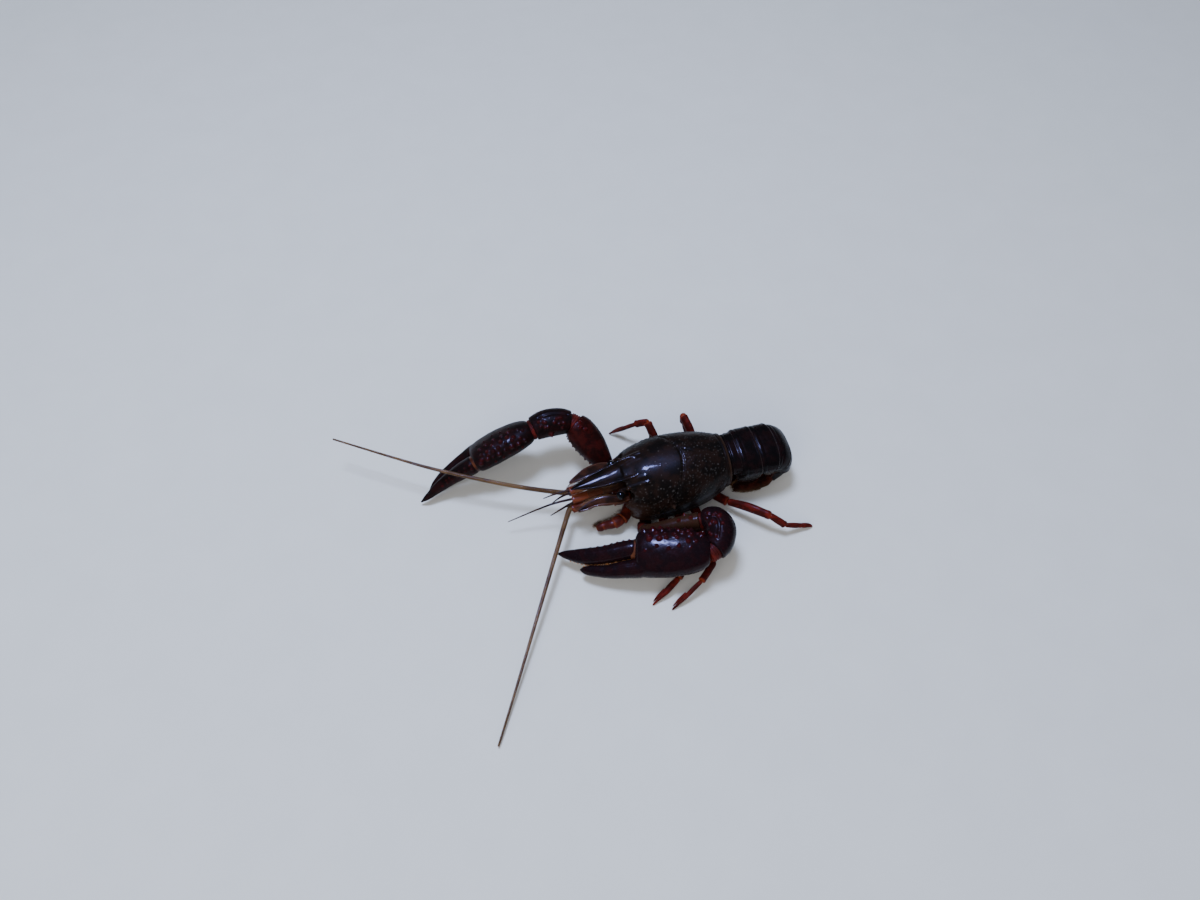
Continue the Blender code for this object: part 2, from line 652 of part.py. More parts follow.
def make_claw(name, line):
    """The palm with its fixed finger, and the finger that moves in life."""
    palm = loft(f"claw_{name}_palm", claw_rings(line, PALM + FIXED_FINGER[name]),
                line.at(*FIXED_TIP[name]))
    finger = loft(f"claw_{name}_finger", claw_rings(line, DACTYL[name], 10),
                  line.at(*DACTYL_TIP[name]))
    edge = [(3.6 + 2.7 * k, 0, math.radians(8)) for k in range(7)]
    second = [(4.5 + 3.0 * k, -1.5, math.radians(48)) for k in range(6)]
    third = [(6.5 + 3.2 * k, -1.0, math.radians(78)) for k in range(5)]
    fixed_teeth = [(u + 0.7, 4.4, 0) for u in TEETH]
    moving_teeth = [(u, -1.2, math.pi) for u in TEETH]
    knobs = [(25.6 + 3.0 * k, -1.5, math.radians(12)) for k in range(3)]
    fuse(palm, spikes_on(palm, claw_lines(line, edge), 0.9, 0.8)
         + spikes_on(palm, claw_lines(line, second), 0.6, 0.75)
         + spikes_on(palm, claw_lines(line, third), 0.45, 0.7)
         + spikes_on(palm, claw_lines(line, fixed_teeth), 0.35, 0.5))
    fuse(finger, spikes_on(finger, claw_lines(line, moving_teeth), 0.35, 0.5)
         + spikes_on(finger, claw_lines(line, knobs), 0.6, 0.6))
    return [palm, finger]


def side_lines(rows, places):
    """Rays out of a limb: share of the way along its stations, and a direction."""
    rays = []
    for share, direction in places:
        k = share * (len(rows) - 1)
        i = min(int(k), len(rows) - 2)
        centre = Vector(rows[i][:3]).lerp(Vector(rows[i + 1][:3]), k - i)
        rays.append((centre, Vector(direction)))
    return rays


ARM_ROOT = (-27, 4.3)     # x and height of the joint at the sternum


def make_arm(name, side, ischium, merus, carpus, line):
    """The jointed stem of a claw, from the sternum to the palm."""
    x, z = ARM_ROOT
    face = leaning((x, side * (STERNUM[2] + GAP / 2), z))
    root = leaning((x, side * (STERNUM[2] + ROOT_INSET), z))
    arm = jointed([(f"claw_{name}_ischium", [(*root, 2.0, 1.4)] + ischium),
                   (f"claw_{name}_merus", merus), (f"claw_{name}_carpus", carpus)],
                  start=(face, leaning_direction((0, side, 0))),
                  end=(line.at(GAP / 2), line.ahead(0)), sides=10)
    inner = Vector((0, -side, 0))
    top = Vector((0, 0, 1))
    ahead = Vector((-1, 0, 0))
    spines = [(0.2 + 0.15 * k, inner * (0.9 if k % 2 else 0.5) + top * 0.5) for k in range(4)]
    crest = [(0.82, top), (0.7, top + inner * 0.4)]
    keel = [(0.4 + 0.14 * k, inner - top * 0.8) for k in range(4)]
    fuse(arm[1], spikes_on(arm[1], side_lines(merus, crest), 1.0, 0.7)
         + spikes_on(arm[1], side_lines(merus, keel), 0.6, 0.6))
    spots = [(0.35, top), (0.55, top + ahead * 0.4), (0.75, top + ahead * 0.2),
             (0.5, top + ahead), (0.8, top + ahead)]
    fuse(arm[2], spikes_on(arm[2], side_lines(carpus, spots + spines[:2]), 1.0, 0.8))
    return arm


def make_claws():
    left_ischium = [(-28.2, -8.2, 2.3, 1.9, 1.4), (-29.8, -10.6, 3.3, 2.0, 1.6)]
    left_merus = [(-30.2, -11.8, 4.1, 2.0, 1.7), (-28.8, -14.2, 6.2, 2.3, 2.4),
                  (-24.5, -15.8, 8.1, 2.5, 3.3), (-18.5, -17.0, 9.6, 2.8, 3.9),
                  (-14.0, -17.9, 10.8, 2.9, 3.9)]
    left_carpus = [(-12.9, -18.1, 11.3, 3.2, 3.8), (-10.6, -19.4, 12.6, 4.2, 4.6),
                   (-9.8, -22.8, 12.8, 4.8, 4.8), (-11.2, -26.4, 12.2, 4.4, 4.1),
                   (-13.8, -28.2, 11.7, 4.1, 3.2)]
    right_ischium = [(-30.6, 10.6, 3.9, 2.2, 1.6), (-34.2, 12.6, 5.4, 2.6, 2.0)]
    right_merus = [(-35.0, 13.4, 6.2, 2.8, 2.3), (-37.0, 16.4, 9.6, 4.2, 3.3),
                   (-39.0, 20.0, 12.2, 5.1, 3.7), (-41.0, 23.4, 14.6, 4.9, 3.9),
                   (-42.4, 25.2, 15.6, 4.0, 3.7)]
    right_carpus = [(-43.2, 26.0, 15.9, 3.5, 3.7), (-46.6, 26.8, 16.6, 4.3, 4.2),
                    (-51.2, 27.0, 16.8, 4.5, 4.3), (-55.6, 26.4, 16.2, 4.1, 3.2)]
    made = make_arm("left", -1, left_ischium, left_merus, left_carpus, CLAW_LEFT)
    made += make_claw("left", CLAW_LEFT)
    made += make_arm("right", 1, right_ischium, right_merus, right_carpus, CLAW_RIGHT)
    made += make_claw("right", CLAW_RIGHT)
    return made


# Colour and roughness by the start of a piece's name
FINISHES = {
    "carapace": ((0.030, 0.010, 0.008), 0.32),
    "sternum": ((0.20, 0.045, 0.025), 0.45),
    "abdomen": ((0.024, 0.007, 0.007), 0.25),
    "telson": ((0.05, 0.010, 0.008), 0.3),
    "uropod": ((0.05, 0.010, 0.008), 0.3),
    "eyestalk": ((0.10, 0.03, 0.02), 0.4),
    "eye_": ((0.004, 0.004, 0.005), 0.08),
    "antenna_base": ((0.26, 0.06, 0.02), 0.4),
    "antenna_scale": ((0.09, 0.025, 0.015), 0.4),
    "antenna_": ((0.16, 0.09, 0.03), 0.45),
    "antennule": ((0.08, 0.03, 0.02), 0.45),
    "maxilliped": ((0.20, 0.03, 0.015), 0.45),
    "leg": ((0.24, 0.015, 0.01), 0.35),
    "claw": ((0.07, 0.008, 0.012), 0.28),
}

for obj in list(bpy.data.objects):
    bpy.data.objects.remove(obj)
parts = bpy.data.collections.new("crayfish")
bpy.context.scene.collection.children.link(parts)


def centre_on_floor(objects):
    """Move all pieces so that the origin is the middle of their common box, on the floor."""
    points = [vert.co for obj in objects for vert in obj.data.vertices]
    low = [min(p[k] for p in points) for k in range(3)]
    high = [max(p[k] for p in points) for k in range(3)]
    middle = Vector(((low[0] + high[0]) / 2, (low[1] + high[1]) / 2, low[2]))
    for obj in objects:
        obj.data.transform(Matrix.Translation(-middle))


body = [make_carapace(), make_sternum()]
somites, tail_start = make_abdomen()
body += somites + make_fan(tail_start) + make_head()
body += make_legs() + make_claws()
for obj in body:
    colour, roughness = next(finish for start, finish in FINISHES.items()
                             if obj.name.startswith(start))
    paint(obj, colour, roughness)
centre_on_floor(body)
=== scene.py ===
"""Looks of the red swamp crayfish: fine shells, tubercles, joints, bristles, stage and camera.

Shapes are worked out in millimetres about the carapace's rear margin, where the trunk stands
upright before it leans, and go to metres in the frame's own place when a piece is finished.
"""

import math
import random

import bpy
import numpy as np
from mathutils import Matrix, Vector, noise
from mathutils.kdtree import KDTree


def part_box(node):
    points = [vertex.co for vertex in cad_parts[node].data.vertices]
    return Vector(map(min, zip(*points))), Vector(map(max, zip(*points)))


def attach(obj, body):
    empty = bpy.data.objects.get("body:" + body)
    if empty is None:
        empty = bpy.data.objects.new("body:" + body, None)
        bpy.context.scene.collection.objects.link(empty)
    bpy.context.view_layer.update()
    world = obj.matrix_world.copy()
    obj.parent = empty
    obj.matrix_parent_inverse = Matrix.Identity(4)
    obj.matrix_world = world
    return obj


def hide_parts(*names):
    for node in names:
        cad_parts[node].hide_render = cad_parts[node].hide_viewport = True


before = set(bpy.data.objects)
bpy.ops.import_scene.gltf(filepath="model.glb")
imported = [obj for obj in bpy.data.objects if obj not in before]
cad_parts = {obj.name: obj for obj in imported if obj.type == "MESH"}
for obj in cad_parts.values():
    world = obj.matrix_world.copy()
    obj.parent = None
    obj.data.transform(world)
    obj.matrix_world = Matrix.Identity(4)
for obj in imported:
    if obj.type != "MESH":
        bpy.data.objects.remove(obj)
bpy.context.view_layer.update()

MM = 0.001
FINE = 1.0     # voxels and steps are this much coarser
LEAN = math.radians(9)                    # of the trunk to the animal's left, about LEAN_Z
LEAN_Z = 20
FLOOR_CLEAR = 0.00002
LINE_PITCH = 0.12                         # between the places that carve a groove or raise a ridge
BRISTLE_HALF = 0.045
CARAPACE_VOXEL = 0.199
CLAW_VOXEL = 0.2
FINGER_VOXEL = 0.18
STERNUM_VOXEL = 0.3
SIDES = (("left", -1), ("right", 1))
rng = random.Random(11)


# Shared shape tools

def lean(points):
    """Where points of the upright trunk lie once it leans."""
    p = np.asarray(points, float)
    rise = p[..., 2] - LEAN_Z
    return np.stack([p[..., 0], p[..., 1] * math.cos(LEAN) - rise * math.sin(LEAN),
                     LEAN_Z + rise * math.cos(LEAN) + p[..., 1] * math.sin(LEAN)], -1)


EYE = (-35.5, 5.4, 16)
EYE_RADIUS = 1.3
eye_low, eye_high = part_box("eye_left")
SHIFT = (eye_low + eye_high) / 2 - Vector(lean((EYE[0], -EYE[1], EYE[2]))) * MM


def smooth_rows(rows, steps):
    """Catmull-Rom rows between given rows of numbers."""
    rows = np.asarray(rows, float)
    ends = np.vstack([rows[:1], rows, rows[-1:]])
    line = []
    for a, b, c, d in zip(ends, ends[1:], ends[2:], ends[3:]):
        for k in range(steps):
            t = k / steps
            line.append(0.5 * (2 * b + (c - a) * t + (2 * a - 5 * b + 4 * c - d) * t * t
                               + (3 * b - a - 3 * c + d) * t ** 3))
    line.append(rows[-1])
    return np.array(line)


def run_along(points):
    """How far each point of a line is from its start."""
    return np.concatenate([[0], np.cumsum(np.linalg.norm(np.diff(points, axis=0), axis=1))])


def looked_up(rows, at):
    """A table's other columns at a value of its first."""
    table = np.array(sorted(rows))
    return [np.interp(at, table[:, 0], column) for column in table.T[1:]]


def normalised(v):
    v = np.asarray(v, float)
    return v / np.maximum(np.linalg.norm(v, axis=-1, keepdims=True), 1e-9)


def oval(sides, square=1.0):
    """Cosines and sines round an oval, made a little square below 1."""
    angle = 2 * np.pi * (np.arange(sides) + 0.5) / sides
    c, s = np.cos(angle), np.sin(angle)
    return (np.sign(c) * np.abs(c) ** square, np.sign(s) * np.abs(s) ** square)


def tube(stations, up=(0, 0, 1), rings=48, sides=32, caps=(1.0, 1.0), square=1.0, wave=None):
    """Rings round a smooth line. A station is x, y, z, half width, half height. Each end closes
    over its cap's length. wave changes the radii with the distance from each end."""
    rings = max(8, int(rings / FINE))
    sides = max(8, int(sides / FINE))
    line = smooth_rows(stations, 24)
    run = run_along(line[:, :3])
    total = run[-1]
    at = total * (1 - np.cos(np.pi * np.linspace(0.02, 0.98, rings))) / 2
    at = (at - at[0]) / (at[-1] - at[0]) * total
    row = np.stack([np.interp(at, run, line[:, k]) for k in range(5)], 1)
    along = normalised(np.gradient(row[:, :3], axis=0))
    across = normalised(np.cross(along, up))
    rise = np.cross(across, along)
    size = np.ones(rings)
    for cap, far in ((caps[0], at), (caps[1], total - at)):
        if cap:
            size *= np.sqrt(np.clip(1 - (1 - np.clip(far / cap, 0, 1)) ** 2, 0.01, 1))
    if wave:
        size *= wave(at, total)
    c, s = (turn[None, :, None] for turn in oval(sides, square))
    half, high = ((row[:, k] * size)[:, None, None] for k in (3, 4))
    return row[:, None, :3] + across[:, None] * half * c + rise[:, None] * high * s


def closed(grid):
    """Points and faces of a tube of rings with a fan over each end."""
    n, m = grid.shape[:2]
    i, j = np.meshgrid(np.arange(n - 1), np.arange(m), indexing="ij")
    k = (j + 1) % m
    quads = np.stack([i * m + j, i * m + k, (i + 1) * m + k, (i + 1) * m + j], -1).reshape(-1, 4)
    faces = quads.tolist()
    first, last = n * m, n * m + 1
    for a in range(m):
        b = (a + 1) % m
        faces.append([b, a, first])
        faces.append([(n - 1) * m + a, (n - 1) * m + b, last])
    points = np.vstack([grid.reshape(-1, 3), grid[0].mean(0), grid[-1].mean(0)])
    return points, faces


def joined(shapes):
    """One set of points and faces out of several."""
    points, faces, count = [], [], 0
    for p, f in shapes:
        points.append(np.asarray(p, float))
        faces += [[i + count for i in face] for face in f]
        count += len(p)
    return np.vstack(points), faces


def linked(name, data):
    obj = bpy.data.objects.new(name, data)
    bpy.context.scene.collection.objects.link(obj)
    return obj


def new_object(name, points, faces):
    mesh = bpy.data.meshes.new(name)
    mesh.from_pydata(np.asarray(points).tolist(), [], faces)
    mesh.update()
    return linked(name, mesh)


def from_grid(name, grids, masks):
    """One object of closed tubes of rings. masks give each grid's values by name."""
    obj = new_object(name, *joined([closed(grid) for grid in grids]))
    for mask, each in masks.items():
        values = []
        for grid, value in zip(grids, each):
            value = np.broadcast_to(value, grid.shape[:2])
            values += [value.ravel(), [value[0].mean(), value[-1].mean()]]
        layer = obj.data.attributes.new(mask, "FLOAT", "POINT")
        layer.data.foreach_set("value", np.concatenate(values).astype(np.float32))
    return obj


def from_ends(grid, reach):
    """1 at both ends of a tube of rings, fading over a reach."""
    at = run_along(grid.mean(1))
    near = np.minimum(at, at[-1] - at)
    return np.exp(-(near / reach) ** 2)[:, None]


def bristles(name, roots, directions, length, slot, half=BRISTLE_HALF, seed=3):
    """Fine tapered bristles with a slight bend."""
    draw = random.Random(seed)
    faces = [[0, 1, 4, 3], [1, 2, 5, 4], [2, 0, 3, 5], [3, 4, 6], [4, 5, 6], [5, 3, 6], [2, 1, 0]]
    shapes = []
    for root, direction in zip(roots, directions):
        d = normalised(np.asarray(direction, float) + [draw.gauss(0, 0.13) for _ in range(3)])
        side = normalised(np.cross(d, (0.3, 0.2, 1)))
        other = np.cross(d, side)
        reach = length * draw.uniform(0.7, 1.15)
        bend = side * draw.uniform(-0.12, 0.12) * reach + other * draw.uniform(-0.1, 0.1) * reach
        points = []
        for t, w in ((0, 1), (0.5, 0.7)):
            centre = root + d * (reach * t) + bend * t * t
            points += [centre + half * w * (side * math.cos(a) + other * math.sin(a))
                       for a in (0, 2.1, 4.2)]
        shapes.append((points + [root + d * reach + bend], faces))
    finish(new_object(name, *joined(shapes)), BRISTLE, slot)


def applied(obj):
    """Apply an object's modifiers."""
    bpy.context.view_layer.update()
    mesh = bpy.data.meshes.new_from_object(
        obj.evaluated_get(bpy.context.evaluated_depsgraph_get()))
    obj.modifiers.clear()
    obj.data = mesh
    return obj


def cast(name, shapes, voxel, smoothing=4):
    """Melt closed shapes into one even skin."""
    obj = new_object(name, *joined(shapes))
    remesh = obj.modifiers.new("Remesh", "REMESH")
    remesh.mode = "VOXEL"
    remesh.voxel_size = voxel * FINE
    remesh.adaptivity = 0
    smooth = obj.modifiers.new("Smooth", "SMOOTH")
    smooth.factor = 0.5
    smooth.iterations = smoothing
    return applied(obj)


class Relief:
    """Raises and carves a mesh along its normals, and keeps masks for its material."""

    def __init__(self, obj):
        self.obj = obj
        self.points = self.read(obj.data.vertices, "co")
        self.normals = self.read(obj.data.vertex_normals, "vector")
        count = len(self.points)
        self.raised = np.zeros(count)
        self.carved = np.zeros(count)
        self.masks = {}
        self.tree = KDTree(count)
        for i, p in enumerate(self.points):
            self.tree.insert(p, i)
        self.tree.balance()

    @staticmethod
    def read(values, name):
        flat = np.empty(len(values) * 3)
        values.foreach_get(name, flat)
        return flat.reshape(-1, 3)

    def mask(self, name):
        return self.masks.setdefault(name, np.zeros(len(self.points)))

    def knob(self, place, radius, height, name=None, strength=1.0):
        """A rounded tubercle with a pointed top."""
        mask = self.mask(name) if name else None
        for _, i, far in self.tree.find_range(place, radius):
            t = 1 - far / radius
            lift = height * t * t * (3 - 2 * t) * (0.55 + 0.45 * t)
            self.raised[i] = max(self.raised[i], lift)
            if name:
                mask[i] = max(mask[i], min(1, 1.5 * t) * strength)

    def line(self, places, radius, height, name=None, strength=1.0):
        """A ridge, or a groove where height is below zero, along a line of places."""
        near = {}
        for place in dense(places):
            for _, i, far in self.tree.find_range(place, radius):
                near[i] = min(near.get(i, radius), far)
        mask = self.mask(name) if name else None
        for i, far in near.items():
            t = 1 - far / radius
            lift = height * t * t * (3 - 2 * t)
            if height > 0:
                self.raised[i] = max(self.raised[i], lift)
            else:
                self.carved[i] = min(self.carved[i], lift)
            if name:
                mask[i] = max(mask[i], t * strength)

    def rough(self, scale, height):
        """Low, even unevenness."""
        self.carved += height * np.array([noise.noise(Vector(p) / scale) for p in self.points])

    def scatter(self, spacing, allowed):
        """Places on the surface about a spacing apart, where allowed gives more than chance."""
        order = list(range(len(self.points)))
        rng.shuffle(order)
        taken, places = set(), []
        for i in order:
            p = self.points[i]
            gap = spacing(p)
            if gap <= 0 or rng.random() > allowed(p):
                continue
            cell = tuple(int(c) for c in np.floor(p / gap))
            near = [(cell[0] + a, cell[1] + b, cell[2] + c, round(gap, 2))
                    for a in (-1, 0, 1) for b in (-1, 0, 1) for c in (-1, 0, 1)]
            own = near[13]
            if own in taken or sum(key in taken for key in near) > 2:
                continue
            taken.add(own)
            places.append(i)
        return places

    def apply(self):
        points = self.points + self.normals * (self.raised + self.carved)[:, None]
        mesh = self.obj.data
        mesh.vertices.foreach_set("co", points.ravel())
        mesh.update()
        for name, values in self.masks.items():
            layer = mesh.attributes.new(name, "FLOAT", "POINT")
            layer.data.foreach_set("value", values.astype(np.float32))
        return self.obj


def dense(places):
    """Points along a line of places, no further apart than the line's pitch."""
    line = smooth_rows(places, 12) if len(places) > 2 else np.asarray(places, float)
    out = []
    for a, b in zip(line, line[1:]):
        steps = max(1, int(np.linalg.norm(b - a) / LINE_PITCH))
        out += [a + (b - a) * k / steps for k in range(steps)]
    return out


def finish(obj, material, slot, *nodes):
    """Bring a piece from millimetres into the frame and let it ride there."""
    mesh = obj.data
    mesh.transform(Matrix.Translation(SHIFT) @ Matrix.Scale(MM, 4))
    for vert in mesh.vertices:
        if vert.co.z < FLOOR_CLEAR:
            vert.co.z = FLOOR_CLEAR
    mesh.shade_smooth()
    mesh.materials.clear()
    mesh.materials.append(material)
    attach(obj, "root")
    if nodes:
        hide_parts(*nodes)


def add_piece(name, grids, material, slot, *nodes, **masks):
    finish(from_grid(name, grids, masks), material, slot, *nodes)


# Materials

GRAIN_HEIGHT = 0.00012
FACET_HEIGHT = 0.00003
FACETS = 9000                    # scale of an eye's facets, for each metre


def node_tree(name):
    material = bpy.data.materials.new(name)
    material.use_nodes = True
    tree = material.node_tree
    return material, tree, tree.nodes["Principled BSDF"]


def feed(tree, node, inputs):
    """Set a node's inputs to numbers and colours, or link them to other nodes' outputs."""
    for name, value in inputs.items():
        if isinstance(value, bpy.types.NodeSocket):
            tree.links.new(value, node.inputs[name])
        else:
            node.inputs[name].default_value = value


def add_node(tree, kind, inputs):
    node = tree.nodes.new("ShaderNode" + kind)
    feed(tree, node, inputs)
    return node


def object_place(tree):
    return tree.nodes.new("ShaderNodeTexCoord").outputs["Object"]


def noise_node(tree, scale, detail=4):
    texture = add_node(tree, "TexNoise", {"Scale": scale, "Detail": detail, "Roughness": 0.55,
                                          "Vector": object_place(tree)})
    return texture.outputs["Fac"]


def mix_node(tree, factor, first, second):
    mix = tree.nodes.new("ShaderNodeMix")
    mix.data_type = "RGBA"
    first, second = [(*end, 1) if isinstance(end, tuple) else end for end in (first, second)]
    feed(tree, mix, {"Factor": factor, "A": first, "B": second})
    return mix.outputs["Result"]


def chitin(name, dark, light, tints, roughness, coat, patch=350, grain=3500, bump=0.25,
           specular=0.1):
    """A wet shell: two colours in patches, a tint for each mask, uneven gloss and fine grain."""
    material, tree, shader = node_tree(name)
    patches = add_node(tree, "MapRange", {"From Min": 0.4, "From Max": 0.62,
                                          "Value": noise_node(tree, patch)})
    patches.interpolation_type = "SMOOTHSTEP"
    colour = mix_node(tree, patches.outputs["Result"], dark, light)
    for mask, tint in tints:
        layer = tree.nodes.new("ShaderNodeAttribute")
        layer.attribute_name = mask
        colour = mix_node(tree, layer.outputs["Fac"], colour, tint)
    gloss = add_node(tree, "MapRange", {"From Min": 0.3, "From Max": 0.7, "To Min": roughness[0],
                                        "To Max": roughness[1],
                                        "Value": noise_node(tree, patch * 2.3)})
    grained = add_node(tree, "Bump", {"Strength": bump, "Distance": GRAIN_HEIGHT,
                                      "Height": noise_node(tree, grain, 3)})
    feed(tree, shader, {"Base Color": colour, "Roughness": gloss.outputs["Result"],
                        "Normal": grained.outputs["Normal"], "Specular IOR Level": specular,
                        "Coat Weight": coat, "Coat Roughness": 0.1})
    return material


BLACK_BROWN = (0.005, 0.0038, 0.0035)
RED_BROWN = (0.0125, 0.0064, 0.005)
# pale grey painted on granule tops as their highlight
PAINTED_GLINT_GREY = (0.16, 0.145, 0.14)
RIM_BROWN = (0.06, 0.03, 0.018)
KNOB_RED = (0.06, 0.005, 0.006)
DEEP_RED = (0.03, 0.0042, 0.0036)
ORANGE = (0.24, 0.05, 0.014)
TAN = (0.46, 0.2, 0.075)
OLIVE = (0.03, 0.014, 0.008)
PURPLE_BLACK = (0.0075, 0.0034, 0.0048)

# the shell's granules carry a painted highlight: a pale tint on their tops
SHELL = chitin("wet_shell", BLACK_BROWN, RED_BROWN,
               (("painted_glint", PAINTED_GLINT_GREY), ("rim", RIM_BROWN), ("cheek", (0.038, 0.0165, 0.0105))),
               (0.3, 0.46), 0.13, patch=260, specular=0.035)
TAIL = chitin("tail_shell", (0.004, 0.0031, 0.0035), (0.0085, 0.0038, 0.0042),
              (("rim", (0.075, 0.045, 0.042)), ("under", (0.07, 0.012, 0.008))), (0.2, 0.36),
              0.08, specular=0.04)
FAN = chitin("fan_shell", (0.014, 0.005, 0.0042), (0.05, 0.011, 0.008), (("rim", RIM_BROWN),),
             (0.25, 0.4), 0.13, specular=0.06)
CLAW = chitin("claw_shell", PURPLE_BLACK, (0.012, 0.0036, 0.0048),
              (("knob", KNOB_RED), ("tooth", TAN), ("joint", ORANGE)), (0.18, 0.34), 0.11,
              specular=0.07)
FAR_CLAW = chitin("far_claw_shell", (0.0062, 0.0034, 0.0034), (0.013, 0.0036, 0.0036),
                  (("knob", (0.046, 0.005, 0.005)), ("tooth", TAN), ("joint", ORANGE)),
                  (0.34, 0.5), 0.05, specular=0.05)
CLAW_SHELLS = {"left": CLAW, "right": FAR_CLAW}
ARM = chitin("arm_shell", (0.013, 0.0032, 0.003), DEEP_RED,
             (("olive", OLIVE), ("knob", KNOB_RED), ("joint", ORANGE)), (0.24, 0.4), 0.06,
             specular=0.05)
LEG = chitin("leg_shell", (0.044, 0.0055, 0.0042), (0.12, 0.0105, 0.007),
             (("dark", (0.028, 0.006, 0.0045)), ("joint", ORANGE)), (0.38, 0.54), 0.025, patch=500,
             specular=0.035)
MEMBRANE = chitin("joint_membrane", (0.04, 0.006, 0.005), (0.095, 0.011, 0.008), (), (0.4, 0.55),
                  0.05, bump=0.5, grain=2200, specular=0.05)
HINGE_SKIN = chitin("hinge_membrane", (0.035, 0.01, 0.006), (0.09, 0.028, 0.012), (), (0.3, 0.45),
                    0.15, bump=0.5, grain=2200)
UNDERSIDE = chitin("underside_shell", (0.12, 0.028, 0.016), (0.26, 0.085, 0.042), (), (0.35, 0.5),
                   0.15)
STALK = chitin("eyestalk_shell", (0.008, 0.005, 0.004), (0.022, 0.01, 0.007), (), (0.35, 0.5), 0.1,
               specular=0.07)
PEDUNCLE = chitin("antenna_base_shell", (0.06, 0.012, 0.007), (0.15, 0.031, 0.012),
                  (("dark", (0.034, 0.01, 0.006)),), (0.28, 0.42), 0.18)
SCALE = chitin("antenna_scale_shell", (0.013, 0.006, 0.0045), (0.038, 0.013, 0.008),
               (("rim", (0.075, 0.028, 0.013)),), (0.25, 0.4), 0.25)
WHIP = chitin("whip_shell", (0.075, 0.038, 0.015), (0.155, 0.085, 0.034),
              (("ring", (0.028, 0.015, 0.009)),), (0.3, 0.45), 0.2, patch=160)
SMALL_WHIP = chitin("antennule_shell", (0.018, 0.009, 0.007), (0.048, 0.019, 0.011),
                    (("ring", (0.012, 0.007, 0.005)), ("tip", (0.15, 0.032, 0.012))),
                    (0.3, 0.45), 0.2)
JAW = chitin("jaw_leg_shell", (0.045, 0.008, 0.006), (0.11, 0.017, 0.009), (("joint", ORANGE),),
             (0.28, 0.42), 0.12, specular=0.07)
BRISTLE = chitin("bristles", (0.07, 0.034, 0.018), (0.19, 0.105, 0.055), (), (0.5, 0.6), 0)


def eye_material():
    material, tree, shader = node_tree("eye_facets")
    cells = add_node(tree, "TexVoronoi", {"Scale": FACETS, "Vector": object_place(tree)})
    bump = add_node(tree, "Bump", {"Strength": 0.15, "Distance": FACET_HEIGHT,
                                   "Height": cells.outputs["Distance"]})
    feed(tree, shader, {"Base Color": (0.0035, 0.0035, 0.004, 1), "Roughness": 0.2,
                        "Specular IOR Level": 0.15, "Coat Weight": 0.3, "Coat Roughness": 0.03,
                        "Normal": bump.outputs["Normal"]})
    return material


EYE_BLACK = eye_material()


# Carapace and rostrum

FACE_X = -33.5
GROOVE_X = -15.1
GROOVE_SWEEP = 10
RIM_ANGLE = math.radians(-38)
# x, half width, top, height of the widest line, lower edge, half width of the lower edge
CARAPACE = [
    (0, 8.2, 19.6, 13, 9, 7.2),
    (-1.2, 8.9, 20.3, 12.8, 8.2, 8.2),
    (-4.5, 10.8, 21.4, 12, 6.6, 10.2),
    (-8.5, 12.1, 22.4, 11.3, 5.9, 11.4),
    (-12, 12.5, 22.9, 11.1, 5.8, 11.8),
    (-16, 12.35, 22.9, 11, 5.7, 11.6),
    (-19.5, 11.9, 22.6, 11, 5.7, 11.2),
    (-23.5, 11.3, 22.05, 11.1, 5.6, 10.7),
    (-27.5, 10.5, 21.3, 11.2, 5.6, 10),
    (-31, 9.3, 20.3, 11.5, 5.8, 8.8),
    (-33.5, 8, 19.6, 11.8, 6.5, 7.6),
]
WIDE_Z = 11.2                    # height about which angles round the trunk are measured
ROSTRUM_ROOT = np.array([-28.5, 1.2, 20.6])
ROSTRUM_TIP = np.array([-49.8, 0.2, 16.5])
ROSTRUM_SAG = 0.5
ROSTRUM_HALF = 3.6
# share of the way to the tip, share of the half width
ROSTRUM_WIDTHS = [(0, 0.9), (0.1, 1.05), (0.25, 1), (0.47, 0.86), (0.66, 0.7), (0.8, 0.46),
                  (0.9, 0.26), (1, 0.08)]
ROSTRUM_THICK = 1.5
RIDGE_HEIGHT = 0.9
ORBIT = math.radians(35)         # angle up from the side at which the eye's notch lies


def swept(x, lift):
    """x of a place on a cross-section that sweeps forward down the sides."""
    reach = 15.1 if x > GROOVE_X else GROOVE_X - FACE_X
    sweep = GROOVE_SWEEP * max(0, 1 - abs(x - GROOVE_X) / reach)
    return x - sweep * (1 - lift) ** 0.7


def carapace_ring(row, angles):
    x, half, top, wide, low, low_half = row
    rise = np.sin(angles)
    lift = np.maximum(0, rise)
    drop = np.maximum(0, -rise) / -math.sin(RIM_ANGLE)
    sign = np.sign(np.cos(angles))
    y = np.where(rise >= 0, half * sign * np.abs(np.cos(angles)) ** 0.92,
                 sign * (half + (low_half - half) * drop ** 1.5))
    z = np.where(rise >= 0, wide + (top - wide) * lift ** 0.95, wide + (low - wide) * drop)
    side = np.minimum(angles, math.pi - angles)
    front = np.clip((-29.5 - x) / 4.0, 0, 1) ** 2
    notch = 2.2 * np.exp(-((side - ORBIT) / 0.24) ** 2) - 0.9 * np.exp(-((side - 0.08) / 0.16) ** 2)
    notch += 1.3 * np.clip(-side / 0.66, 0, 1)
    return np.stack([swept(x, lift) + notch * front, y, z], -1)


def on_carapace(x, degrees):
    """A place on the trunk's side: distance along it and angle up from the animal's right."""
    row = [x] + looked_up(CARAPACE, x)
    return lean(carapace_ring(row, np.array([math.radians(degrees)])))[0]


